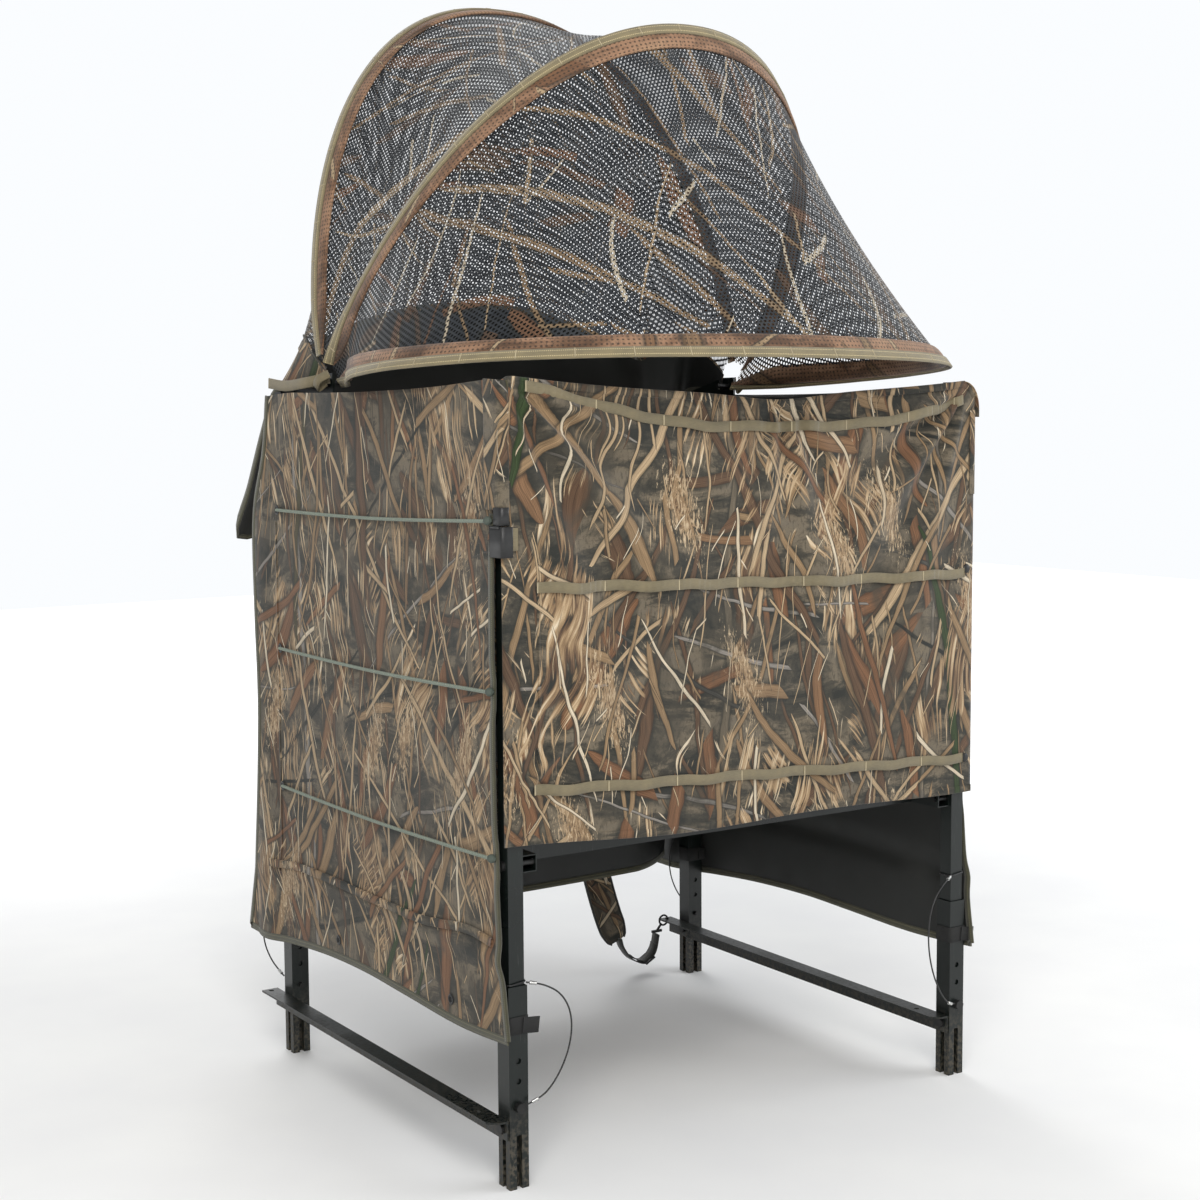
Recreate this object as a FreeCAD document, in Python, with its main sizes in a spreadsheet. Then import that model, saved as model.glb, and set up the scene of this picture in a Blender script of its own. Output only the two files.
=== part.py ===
import FreeCAD, Part
import math
import os
import re

# One-person chair blind: a square-tube folding frame on telescoping legs, a cloth
# skirt round it and a netting hood on spring hoops.
# Origin: middle of the footprint on the ground. +Z up, the front panel faces -Y.

SIZES = {
    # frame
    "span_x": 866, "span_y": 742, "post_top": 1160, "post_foot": 126.3, "post_size": 25.4,
    "tube_wall": 1.6, "sleeve_size": 31.8, "sleeve_top": 300, "sleeve_wall": 1.6,
    "crimp_tall": 80, "crimp_gap": 9, "crimp_deep": 11,
    "pin_height": 122, "pin_radius": 4, "pin_knob": 8, "pin_knob_long": 9, "bolt_radius": 4,
    "hole_play": 0.4, "body_gap": 0.3, "hole_one": 160, "hole_two": 190,
    # rails and cross tubes
    "seat_height": 475, "rail_end": 8, "seat_tube_front": 70, "seat_tube_rear": 60,
    "rail_side_gap": 0.6, "front_tube_height": 1010, "rear_tube_low": 560, "rear_tube_high": 1010,
    "top_rail_height": 1136, "top_rail_thick": 6, "top_rail_deep": 22,
    "foot_flange": 30, "foot_sheet": 3, "foot_top": 104, "foot_bolt": 89, "foot_rear_tip": 47,
    "foot_front_tip": 14, "foot_chamfer": 24, "foot_hole": 4.5, "foot_hole_rear": 36,
    "foot_hole_front": 46,
    # hood
    "hood_y": 224, "hood_z": 1175, "hood_half": 410, "bracket_sheet": 4, "tab_sheet": 3.4,
    "tab_long": 30, "tab_tall": 12, "tab_pitch": 8, "hoop_radius": 3.5, "net_thick": 3,
    # soft goods
    "panel_thick": 3, "panel_gap": 6, "panel_half": 455, "panel_bottom": 488, "back_half": 430,
    "skirt_gap": 8.9, "skirt_thick": 2.4, "back_bottom": 222, "back_lean": 16, "seat_thick": 18,
    "seat_inset": 106, "backrest_wide": 780, "backrest_thick": 8, "backrest_tall": 330, "backrest_low": 640,
    "clip_outer": 33, "clip_inner": 26, "clip_tall": 44, "clip_height": 918,
    "web_wide": 20, "web_thick": 1.4, "cord_size": 5.5, "wire_size": 2.6,
}

HOOP_REAR_DEG = 101
HOOP_MIDDLE_DEG = 50
HOOP_FRONT_DEG = 2.5

doc = FreeCAD.newDocument("ChairBlind")
sheet = doc.addObject("Spreadsheet::Sheet", "Sizes")
for row, (alias, value) in enumerate(SIZES.items(), start=1):
    sheet.set(f"A{row}", alias)
    sheet.set(f"B{row}", str(value))
    sheet.setAlias(f"B{row}", alias)
doc.recompute()

nodes = []


def size(alias):
    """A driving size, read back from the sheet."""
    return float(getattr(sheet, alias))


def bound(text):
    """An expression whose plain alias words become references to the sheet."""
    return re.sub(r"[a-z_]+", lambda word: "Sizes." + word[0] if word[0] in SIZES else word[0], text)


def set_sizes(obj, **expressions):
    for name, text in expressions.items():
        obj.setExpression(name, bound(str(text)))


def put(obj, x="0", y="0", z="0"):
    for axis, text in zip("xyz", (x, y, z)):
        obj.setExpression("Placement.Base." + axis, bound(str(text)))


def node(obj, label):
    """Keeps an object as a sub-part under its own name."""
    obj.Label = label
    nodes.append(obj)
    return obj


def box(length, width, height, x, y, z):
    """A box given by its sizes and its lowest corner."""
    obj = doc.addObject("Part::Box", "Box")
    set_sizes(obj, Length=length, Width=width, Height=height)
    put(obj, x, y, z)
    return obj


def cylinder(radius, length, x, y, z, along="Z"):
    """A cylinder that starts at a point and runs along a row axis."""
    obj = doc.addObject("Part::Cylinder", "Cylinder")
    set_sizes(obj, Radius=radius, Height=length)
    turn = {
        "X": (FreeCAD.Vector(0, 1, 0), 90),
        "Y": (FreeCAD.Vector(1, 0, 0), -90),
        "Z": (FreeCAD.Vector(0, 0, 1), 0),
    }
    obj.Placement = FreeCAD.Placement(FreeCAD.Vector(0, 0, 0), FreeCAD.Rotation(*turn[along]))
    put(obj, x, y, z)
    return obj


def cut(base, *tools):
    obj = doc.addObject("Part::Cut", "Cut")
    obj.Base = base
    obj.Tool = tools[0] if len(tools) == 1 else fuse(*tools)
    return obj


def fuse(*shapes):
    obj = doc.addObject("Part::MultiFuse", "Fuse")
    obj.Shapes = list(shapes)
    return obj


def group(*shapes):
    """Separate solids that share one node."""
    obj = doc.addObject("Part::Compound", "Group")
    obj.Links = list(shapes)
    return obj


def feature(shape, label):
    obj = doc.addObject("Part::Feature", "Soft")
    obj.Shape = shape
    obj.Placement = FreeCAD.Placement()
    return node(obj, label)


def tube_z(x, y, low, high, outside, wall):
    """A square tube on end, centred on x and y."""
    outer = box(outside, outside, f"{high} - {low}", f"{x} - {outside} / 2", f"{y} - {outside} / 2", low)
    inside = f"({outside} - 2 * {wall})"
    inner = box(
        inside, inside, f"{high} - {low} + 2", f"{x} - {inside} / 2", f"{y} - {inside} / 2", f"{low} - 1"
    )
    return cut(outer, inner)


def tube_x(half, y, z, outside="post_size", wall="tube_wall"):
    """A square tube across, from -half to +half."""
    outer = box(f"2 * {half}", outside, outside, f"-({half})", f"{y} - {outside} / 2", f"{z} - {outside} / 2")
    inside = f"({outside} - 2 * {wall})"
    inner = box(
        f"2 * {half} + 2", inside, inside, f"-({half}) - 1", f"{y} - {inside} / 2", f"{z} - {inside} / 2"
    )
    return cut(outer, inner)


SIDES = {"left": "-1", "right": "1"}
ENDS = {"front": "-1", "rear": "1"}
HOLE = "(bolt_radius + hole_play)"


def post(side, end):
    """An upper leg tube with its cross holes for the seat and top rail pivots."""
    x, y = f"({SIDES[side]} * span_x / 2)", f"({ENDS[end]} * span_y / 2)"
    body = tube_z(x, y, "post_foot", "post_top", "post_size", "tube_wall")
    holes = [
        cylinder(HOLE, "post_size + 4", f"{x} - post_size / 2 - 2", y, z, "X")
        for z in ("seat_height", "top_rail_height")
    ]
    node(cut(body, *holes), f"{end}_post_{side}")


def sleeve(side, end):
    """A lower leg: a square sleeve with pin holes and a foot crimped to a cross."""
    x, y = f"({SIDES[side]} * span_x / 2)", f"({ENDS[end]} * span_y / 2)"
    shell = tube_z(x, y, "0", "sleeve_top", "sleeve_size", "sleeve_wall")
    reach = "(sleeve_size / 2)"
    slots = [
        box("crimp_gap", "sleeve_size + 2", "crimp_tall", f"{x} - crimp_gap / 2", f"{y} - {reach} - 1", "0"),
        box("sleeve_size + 2", "crimp_gap", "crimp_tall", f"{x} - {reach} - 1", f"{y} - crimp_gap / 2", "0"),
    ]
    wide = "(crimp_gap + 2 * sleeve_wall)"
    deep = "crimp_deep"
    inside = f"{deep} - sleeve_wall + 1"
    folds = []
    for sign in (-1, 1):
        y_low = f"{y} - {reach}" if sign < 0 else f"{y} + {reach} - {deep}"
        y_open = f"{y} - {reach} - 1" if sign < 0 else f"{y} + {reach} - {deep} + sleeve_wall"
        folds.append(
            cut(
                box(wide, deep, "crimp_tall", f"{x} - {wide} / 2", y_low, "0"),
                box("crimp_gap", inside, "crimp_tall", f"{x} - crimp_gap / 2", y_open, "0"),
            )
        )
        x_low = f"{x} - {reach}" if sign < 0 else f"{x} + {reach} - {deep}"
        x_open = f"{x} - {reach} - 1" if sign < 0 else f"{x} + {reach} - {deep} + sleeve_wall"
        folds.append(
            cut(
                box(deep, wide, "crimp_tall", x_low, f"{y} - {wide} / 2", "0"),
                box(inside, "crimp_gap", "crimp_tall", x_open, f"{y} - crimp_gap / 2", "0"),
            )
        )
    crimped = fuse(cut(shell, *slots), *folds)
    holes = [
        cylinder("(pin_radius + hole_play)", "sleeve_size + 4", x, f"{y} - {reach} - 2", z, "Y")
        for z in ("pin_height", "hole_one", "hole_two")
    ]
    holes.append(cylinder(HOLE, "sleeve_size + 4", f"{x} - {reach} - 2", y, "foot_bolt", "X"))
    node(cut(crimped, *holes), f"{end}_sleeve_{side}")


def lock_pin(side, end):
    """A round-headed pin across the sleeve; the post stands just above it."""
    x = f"({SIDES[side]} * span_x / 2)"
    face = "(span_y / 2 + sleeve_size / 2)"
    shank = "(sleeve_size + 6)"
    if end == "front":
        shaft = cylinder("pin_radius", shank, x, f"-{face}", "pin_height", "Y")
        knob = cylinder("pin_knob", "pin_knob_long", x, f"-{face} - pin_knob_long", "pin_height", "Y")
    else:
        shaft = cylinder("pin_radius", shank, x, f"{face} - {shank}", "pin_height", "Y")
        knob = cylinder("pin_knob", "pin_knob_long", x, face, "pin_height", "Y")
    node(fuse(shaft, knob), f"lock_pin_{end}_{side}")


def bolt_x(x_head, direction, y, z, length):
    """A cross bolt: head at x_head, shank running along +X or -X for the length."""
    head_long = "5"
    radius = "(bolt_radius * 1.8)"
    if direction > 0:
        shank = cylinder("bolt_radius", length, x_head, y, z, "X")
        head = cylinder(radius, head_long, f"{x_head} - {head_long}", y, z, "X")
    else:
        shank = cylinder("bolt_radius", length, f"{x_head} - ({length})", y, z, "X")
        head = cylinder(radius, head_long, x_head, y, z, "X")
    return fuse(shank, head)


def post_caps(end):
    """Plastic plugs in the two post tops."""
    caps = []
    for side in SIDES.values():
        x, y = f"({side} * span_x / 2)", f"({ENDS[end]} * span_y / 2)"
        inside = "(post_size - 2 * tube_wall)"
        top = box("post_size", "post_size", "3", f"{x} - post_size / 2", f"{y} - post_size / 2", "post_top")
        plug = box(inside, inside, "18", f"{x} - {inside} / 2", f"{y} - {inside} / 2", "post_top - 18")
        caps.append(fuse(top, plug))
    node(group(*caps), f"{end}_post_caps")


def seat_rail(side):
    """A seat side rail inside the posts, with a pivot hole at each end."""
    x = f"({SIDES[side]} * (span_x / 2 - post_size - rail_side_gap))"
    long = "(span_y + 2 * rail_end)"
    inside = "(post_size - 2 * tube_wall)"
    low = "seat_height - post_size / 2"
    outer = box("post_size", long, "post_size", f"{x} - post_size / 2", f"-{long} / 2", low)
    inner = box(
        inside, f"{long} + 2", inside, f"{x} - {inside} / 2", f"-{long} / 2 - 1",
        f"seat_height - {inside} / 2",
    )
    holes = [
        cylinder(HOLE, "post_size + 4", f"{x} - post_size / 2 - 2", y, "seat_height", "X")
        for y in ("-span_y / 2", "span_y / 2")
    ]
    node(cut(outer, inner, *holes), f"seat_rail_{side}")


def top_rail(side):
    """A flat bar outside the post tops that keeps the skirt's top edge straight."""
    long = "(span_y + 2 * rail_end)"
    near = "(span_x / 2 + post_size / 2 + body_gap)"
    x = near if side == "right" else f"(-{near} - top_rail_thick)"
    low = "top_rail_height - top_rail_deep / 2"
    bar = box("top_rail_thick", long, "top_rail_deep", x, f"-{long} / 2", low)
    holes = [
        cylinder(HOLE, "top_rail_thick + 2", f"{x} - 1", y, "top_rail_height", "X")
        for y in ("-span_y / 2", "span_y / 2")
    ]
    node(cut(bar, *holes), f"top_rail_{side}")


def foot_rail(side):
    """An L-angle on the -X face of two sleeves, flange on top, with hook holes."""
    body = doc.addObject("PartDesign::Body", f"FootRail{side.title()}")
    plane = next(o for o in body.Origin.OriginFeatures if o.Role == "XZ_Plane")
    sketch = body.newObject("Sketcher::SketchObject", f"RailSection{side.title()}")
    sketch.AttachmentSupport = (plane, [""])
    sketch.MapMode = "FlatFace"
    wide, sheet_thick = size("foot_flange"), size("foot_sheet")
    corners = [
        (0, 0), (0, -wide), (-sheet_thick, -wide), (-sheet_thick, -sheet_thick), (-wide, -sheet_thick), (-wide, 0),
    ]
    for i, start in enumerate(corners):
        end = corners[(i + 1) % len(corners)]
        sketch.addGeometry(Part.LineSegment(FreeCAD.Vector(*start, 0), FreeCAD.Vector(*end, 0)), False)
    pad = body.newObject("PartDesign::Pad", f"RailLength{side.title()}")
    pad.Profile = sketch
    set_sizes(pad, Length="span_y + foot_rear_tip + foot_front_tip")
    doc.recompute()
    x = f"{SIDES[side]} * span_x / 2 - sleeve_size / 2 - body_gap"
    put(body, x, "span_y / 2 + foot_rear_tip", "foot_top")
    middle = f"({x} - foot_flange * 0.55)"
    holes = [
        cylinder("foot_hole", "20", middle, "span_y / 2 + foot_hole_rear", "foot_top - 12"),
        cylinder("foot_hole", "20", middle, "-span_y / 2 + foot_hole_front", "foot_top - 12"),
    ]
    holes += [
        cylinder(HOLE, "foot_sheet + 4", f"{x} - foot_sheet - 2", y, "foot_bolt", "X")
        for y in ("-span_y / 2", "span_y / 2")
    ]
    corner = box("foot_chamfer * 2", "foot_chamfer", "20", "0", "0", "foot_top - 12")
    corner.Placement.Rotation = FreeCAD.Rotation(FreeCAD.Vector(0, 0, 1), -45)
    front_y = "-span_y / 2 - foot_front_tip + foot_chamfer * 0.2"
    put(corner, f"{x} - foot_flange - foot_chamfer", front_y, "foot_top - 12")
    node(cut(body, corner, *holes), f"foot_rail_{side}")


def foot_rail_bolts(side):
    x = f"({SIDES[side]} * span_x / 2 - sleeve_size / 2 - body_gap - foot_sheet)"
    reach = "sleeve_size + foot_sheet + 6"
    bolts = [bolt_x(x, 1, y, "foot_bolt", reach) for y in ("-span_y / 2", "span_y / 2")]
    node(group(*bolts), f"foot_rail_bolts_{side}")


def pivot_bolts(end):
    """The seat and top rail pivots through one pair of posts."""
    bolts = []
    y = f"({ENDS[end]} * span_y / 2)"
    seat_reach = "2 * post_size + rail_side_gap + 3"
    bar_reach = "post_size + top_rail_thick + body_gap + 1.8"
    outer_face = "(span_x / 2 + post_size / 2)"
    bar_face = f"({outer_face} + body_gap + top_rail_thick)"
    bolts.append(bolt_x(f"(-{outer_face})", 1, y, "seat_height", seat_reach))
    bolts.append(bolt_x(outer_face, -1, y, "seat_height", seat_reach))
    inner_face = "(span_x / 2 - post_size / 2)"
    bolts.append(bolt_x(f"(-{inner_face})", -1, y, "top_rail_height", bar_reach))
    bolts.append(bolt_x(inner_face, 1, y, "top_rail_height", bar_reach))
    node(group(*bolts), f"{end}_pivot_bolts")


def hood_bracket(side):
    """A plate on the rear post's inner face that carries the hood pivot forward."""
    body = doc.addObject("PartDesign::Body", f"Bracket{side.title()}")
    plane = next(o for o in body.Origin.OriginFeatures if o.Role == "YZ_Plane")
    sketch = body.newObject("Sketcher::SketchObject", f"BracketOutline{side.title()}")
    sketch.AttachmentSupport = (plane, [""])
    sketch.MapMode = "FlatFace"
    half_post = size("post_size") / 2
    rear, nose = size("span_y") / 2 + half_post, 16
    top, low = size("post_top") - 2, size("post_top") - 70
    y, z = size("hood_y"), size("hood_z")
    points = [(rear, low), (rear, top), (y + nose, z + nose), (y - nose, z + nose), (y - nose, z - nose)]
    for i, start in enumerate(points):
        end = points[(i + 1) % len(points)]
        sketch.addGeometry(Part.LineSegment(FreeCAD.Vector(*start, 0), FreeCAD.Vector(*end, 0)), False)
    pad = body.newObject("PartDesign::Pad", f"BracketPlate{side.title()}")
    pad.Profile = sketch
    set_sizes(pad, Length="bracket_sheet")
    doc.recompute()
    face = "(span_x / 2 - post_size / 2)"
    x = f"{face} - bracket_sheet" if side == "right" else f"-{face}"
    put(body, x, "0", "0")
    x_low = f"({x})"
    hole = cylinder(HOLE, "bracket_sheet + 2", f"{x_low} - 1", "hood_y", "hood_z", "X")
    through = f"{x_low} - 1"
    slot = cylinder("(bolt_radius * 2.2)", "bracket_sheet + 2", through, "span_y / 2", "top_rail_height", "X")
    node(cut(body, hole, slot), f"hood_bracket_{side}")


def hood_pivot_bolts():
    face = "(span_x / 2 - post_size / 2)"
    reach = "bracket_sheet + 3 * tab_pitch + 3"
    left = bolt_x(f"(-{face})", 1, "hood_y", "hood_z", reach)
    right = bolt_x(face, -1, "hood_y", "hood_z", reach)
    node(group(left, right), "hood_pivot_bolts")


def rounded_tube(points, radius):
    """A round bar along straight runs joined by tangent arcs, and its bend radii."""
    route = [FreeCAD.Vector(*p) for p in points]
    edges, radii = [], []
    at = route[0]
    for before, here, after in zip(route, route[1:], route[2:]):
        run_in, run_out = here - before, after - here
        half_turn = run_in.getAngle(run_out) / 2
        reach = 0.45 * min(run_in.Length, run_out.Length)
        radii.append(reach / math.tan(half_turn))
        leave = here - run_in.normalize() * reach
        join = here + run_out.normalize() * reach
        inward = (run_out - run_in).normalize()
        apex = here + inward * (radii[-1] / math.cos(half_turn) - radii[-1])
        edges += [Part.LineSegment(at, leave).toShape(), Part.Arc(leave, apex, join).toShape()]
        at = join
    edges.append(Part.LineSegment(at, route[-1]).toShape())
    path = Part.Wire(edges)
    ring = Part.Wire([Part.Circle(route[0], route[1] - route[0], radius).toShape()])
    solid = path.makePipeShell([ring], True, False)
    wanted = math.pi * radius**2 * path.Length
    assert abs(solid.Volume - wanted) < 0.03 * wanted, (solid.Volume, wanted)
    return solid, path.Length, min(radii)


def hoop_place(x, reach, angle_deg):
    """A point of a hoop: x across, reach out from the pivot line at an angle up from -Y."""
    angle = math.radians(angle_deg)
    return (x, size("hood_y") - reach * math.cos(angle), size("hood_z") + reach * math.sin(angle))


def arch(half, depth, power, steps, start_deg):
    """Half-breadths and reaches of a rounded arch, left to right, clear of its feet."""
    places = []
    for i in range(steps + 1):
        turn = math.radians(start_deg + (180 - 2 * start_deg) * i / steps)
        across = -math.copysign(abs(math.cos(turn)) ** (2 / power), math.cos(turn)) * half
        places.append((across, abs(math.sin(turn)) ** (2 / power) * depth))
    return places


def rim():
    """The front rim hoop lies nearly flat and bellies out wider than the frame."""
    half = [(428, 100), (464, 168), (500, 275), (503, 410), (440, 560), (300, 672), (130, 722)]
    return [(-x, reach) for x, reach in half] + [(0, 730)] + [(x, reach) for x, reach in reversed(half)]


REAR_ARCH = (430, 682, 2.2)
MIDDLE_ARCH = (432, 700, 2.1)


def hoop(label, places, angle_deg, layer):
    """A spring hoop with its two flat pivot tabs, stacked inwards by layer."""
    x_tab = size("span_x") / 2 - size("post_size") / 2 - size("bracket_sheet")
    x_tab -= size("body_gap") + layer * size("tab_pitch")
    shapes = []
    route = [hoop_place(x, reach, angle_deg) for x, reach in places]
    thick, tall, length = size("tab_sheet") - 0.1, size("tab_tall"), size("tab_long")
    feet = []
    for sign in (-1, 1):
        low = x_tab - thick if sign > 0 else -x_tab
        tab = Part.makeBox(thick, length, tall, FreeCAD.Vector(low, -length, -tall / 2))
        tab = tab.fuse(Part.makeCylinder(tall / 2, thick, FreeCAD.Vector(low, 0, 0), FreeCAD.Vector(1, 0, 0)))
        hole, start = size("bolt_radius") + size("hole_play"), FreeCAD.Vector(low - 1, 0, 0)
        tab = tab.cut(Part.makeCylinder(hole, thick + 2, start, FreeCAD.Vector(1, 0, 0)))
        tab.rotate(FreeCAD.Vector(0, 0, 0), FreeCAD.Vector(1, 0, 0), -angle_deg)
        tab.translate(FreeCAD.Vector(0, size("hood_y"), size("hood_z")))
        shapes.append(tab)
        feet.append(hoop_place(sign * (x_tab - thick / 2), length - 4, angle_deg))
    bar, _, _ = rounded_tube([feet[0]] + route + [feet[1]], size("hoop_radius"))
    whole = bar.fuse(shapes)
    feature(whole, label)


def patch(a, b, c, d):
    """A ruled face between the line from a to b and the line from d to c."""
    return Part.makeRuledSurface(Part.LineSegment(a, b).toShape(), Part.LineSegment(d, c).toShape())


def cloth_between(label, first, second):
    """A closed skin from one line of places to another, drawn in by the cloth's thickness."""
    centre = FreeCAD.Vector(0, size("hood_y"), size("hood_z"))
    shrink = 1 - size("net_thick") / 560
    rows = [[FreeCAD.Vector(*p) for p in line] for line in (first, second)]
    inner = [[centre + (p - centre) * shrink for p in line] for line in rows]
    faces = []
    for i in range(len(first) - 1):
        for near, far in ((rows[0], rows[1]), (rows[1], inner[1]), (inner[1], inner[0]), (inner[0], rows[0])):
            faces.append(patch(near[i], near[i + 1], far[i + 1], far[i]))
    for i in (0, -1):
        faces.append(patch(rows[0][i], rows[1][i], inner[1][i], inner[0][i]))
    shell = Part.Shell(faces)
    shell.sewShape()
    solid = Part.Solid(shell)
    if solid.Volume < 0:
        solid.reverse()
    feature(solid, label)


def section_edge(places, angle_deg):
    """A hoop's line drawn in slightly, so that the cloth ends clear of the hoop bar."""
    return [hoop_place(x * 0.985, reach * 0.985, angle_deg) for x, reach in places]


def hood():
    steps = 12
    rear = arch(*REAR_ARCH, steps, 9)
    middle = arch(*MIDDLE_ARCH, steps, 9)
    front = arch(505, 722, 2.9, steps, 12)
    hoop("hood_hoop_rear", arch(*REAR_ARCH, 14, 7), HOOP_REAR_DEG, 0)
    hoop("hood_hoop_middle", arch(*MIDDLE_ARCH, 14, 7), HOOP_MIDDLE_DEG, 1)
    hoop("hood_hoop_front", rim(), HOOP_FRONT_DEG, 2)
    middle_back, middle_front = (section_edge(middle, HOOP_MIDDLE_DEG + turn) for turn in (1, -1))
    cloth_between("hood_net_top", section_edge(rear, HOOP_REAR_DEG - 1), middle_back)
    cloth_between("hood_net_front", middle_front, section_edge(front, HOOP_FRONT_DEG + 2))
    # the rear cloth runs from the rear hoop down to a hem that stands out behind the posts
    # its sides pass over the post tops and stand clear behind the posts
    hem = [(-430, 290, 1173), (-436, 402, 1170), (-442, 575, 912), (-330, 592, 918), (-200, 598, 925)]
    hem += [(-90, 600, 929)]
    hem += [(0, 600, 930)] + [(-x, y, z) for x, y, z in reversed(hem)]
    cloth_between("hood_rear_cloth", section_edge(rear, HOOP_REAR_DEG + 1.2), hem)


def skirt(side):
    """A side cloth hung outside the top rail, longer at its rear corner."""
    x = size("span_x") / 2 + size("post_size") / 2 + size("skirt_gap")
    low = x if side == "right" else -x - size("skirt_thick")
    front, rear = -size("span_y") / 2, size("span_y") / 2
    outline = [
        (front + 4, 1166), (front + 5, 700), (front - 4, 440), (front - 14, 300), (front - 27, 224),
        (front + 140, 218), (front + 410, 222), (rear - 60, 208), (rear + 150, 196),
        (rear + 108, 573), (rear + 98, 933), (rear + 20, 1166),
    ]
    corners = [FreeCAD.Vector(low, y, z) for y, z in outline]
    face = Part.Face(Part.makePolygon(corners + corners[:1]))
    feature(face.extrude(FreeCAD.Vector(size("skirt_thick"), 0, 0)), f"side_skirt_{side}")


def back_panel():
    """The rear cloth between the posts, leaning out a little towards its hem."""
    top_y = size("span_y") / 2 + size("post_size") / 2 + size("panel_gap")
    bottom_y = top_y + size("back_lean")
    half, thick = size("back_half"), size("panel_thick")
    top, low = 1150, size("back_bottom")
    outline = [(top_y, top), (top_y + thick, top), (bottom_y + thick, low), (bottom_y, low)]
    corners = [FreeCAD.Vector(-half, y, z) for y, z in outline]
    face = Part.Face(Part.makePolygon(corners + corners[:1]))
    feature(face.extrude(FreeCAD.Vector(2 * half, 0, 0)), "back_panel")


def front_cloth():
    face = "(span_y / 2 + post_size / 2 + panel_gap)"
    outer = f"-{face} - panel_thick"
    tall = "post_top - panel_bottom"
    panel = box("2 * panel_half", "panel_thick", tall, "-panel_half", outer, "panel_bottom")
    node(panel, "front_panel")
    straps = [
        box("2 * panel_half - 50", "web_thick", "web_wide", "-panel_half + 25", f"{outer} - web_thick", z)
        for z in ("1092", "858", "552")
    ]
    node(group(*straps), "brush_straps")


def cord(label, points, radius, extra=()):
    solid, length, bend = rounded_tube(points, radius)
    print(f"{label}: {length:.0f} mm long, tightest bend {bend:.0f} mm")
    feature(Part.makeCompound([solid, *extra]) if extra else solid, label)


def bungees(side):
    """Three taut elastic cords across each side skirt."""
    sign = -1 if side == "left" else 1
    skirt_face = size("span_x") / 2 + size("post_size") / 2 + size("skirt_gap") + size("skirt_thick")
    x = skirt_face + size("cord_size") / 2 + 1.2
    for name, rear_z, front_z in (("top", 961, 969), ("middle", 722, 726), ("bottom", 481, 486)):
        route = [
            (sign * x, 352, rear_z),
            (sign * x, 120, rear_z + (front_z - rear_z) * 0.3 - 5),
            (sign * x, -130, rear_z + (front_z - rear_z) * 0.65 - 5),
            (sign * x, -362, front_z),
        ]
        cord(f"bungee_{name}_{side}", route, size("cord_size") / 2)


def lanyard(side, end, route, loop_z):
    """A wire from a loop round the post to the lock pin's knob."""
    x = (-1 if side == "left" else 1) * size("span_x") / 2
    y = (-1 if end == "front" else 1) * size("span_y") / 2
    wire = size("wire_size") / 2
    round_post = size("post_size") * 0.772
    loop = Part.makeTorus(round_post, wire, FreeCAD.Vector(x, y, loop_z), FreeCAD.Vector(0, 0, 1))
    cord(f"lanyard_{end}_{side}", route, wire, [loop])


LANYARDS = {
    ("left", "front"): (
        304,
        [(-419, -386, 304), (-408, -393, 303), (-392, -398, 298), (-372, -402, 286), (-357, -404, 264),
         (-352, -405, 236), (-357, -406, 205), (-371, -407, 175), (-388, -405, 150), (-404, -400, 134),
         (-422, -393, 126)],
    ),
    ("right", "front"): (
        346,
        [(419, -386, 346), (408, -393, 344), (392, -398, 338), (372, -402, 324), (356, -404, 298),
         (350, -405, 264), (351, -406, 228), (359, -407, 193), (374, -406, 162), (392, -402, 140),
         (408, -397, 129), (422, -393, 126)],
    ),
    ("left", "rear"): (
        304,
        [(-438, 391, 304), (-443, 402, 302), (-447, 420, 293), (-449, 443, 272), (-450, 464, 242),
         (-451, 475, 208), (-451, 468, 174), (-449, 446, 150), (-446, 420, 136), (-443, 403, 128)],
    ),
    ("right", "rear"): (
        304,
        [(438, 391, 304), (443, 402, 302), (447, 420, 293), (449, 441, 272), (450, 460, 242),
         (451, 471, 208), (451, 465, 175), (449, 445, 151), (446, 420, 137), (443, 403, 128)],
    ),
}


def bent_strap(label, side_points, width, thick):
    """A flat strap: a band of even width swept along a line of places (x, y, z)."""
    strips = []
    places = [FreeCAD.Vector(*p) for p in side_points]
    half = FreeCAD.Vector(width / 2, 0, 0)
    for i, place in enumerate(places):
        run = places[min(i + 1, len(places) - 1)] - places[max(i - 1, 0)]
        out = FreeCAD.Vector(0, run.z, -run.y).normalize() * (thick / 2)
        ring = [place - half - out, place + half - out, place + half + out, place - half + out]
        strips.append(Part.makePolygon(ring + ring[:1]))
    feature(Part.makeLoft(strips, True, True), label)


def flat_loop(places, rear, front, thick):
    """Webbing bent in the X-Z plane only: its outline on that plane, run along Y."""
    line = [FreeCAD.Vector(x, front, z) for x, z in places]
    sides = ([], [])
    for i, place in enumerate(line):
        run = line[min(i + 1, len(line) - 1)] - line[max(i - 1, 0)]
        out = FreeCAD.Vector(run.z, 0, -run.x).normalize() * (thick / 2)
        sides[0].append(place + out)
        sides[1].append(place - out)
    outline = sides[0] + sides[1][::-1]
    face = Part.Face(Part.makePolygon(outline + outline[:1]))
    return face.extrude(FreeCAD.Vector(0, rear - front, 0))


STRAP_WIDE, STRAP_THICK, WEB_THICK = 62, 11, 2
RIGHT_STRAP = [
    (190, 408, 905), (195, 411, 720), (205, 418, 480), (222, 424, 300), (242, 428, 215),
    (268, 428, 130), (290, 424, 72),
]
LEFT_STRAP = [(-190, 408, 905), (-195, 411, 720), (-205, 418, 520), (-222, 424, 390), (-240, 426, 320)]


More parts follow.
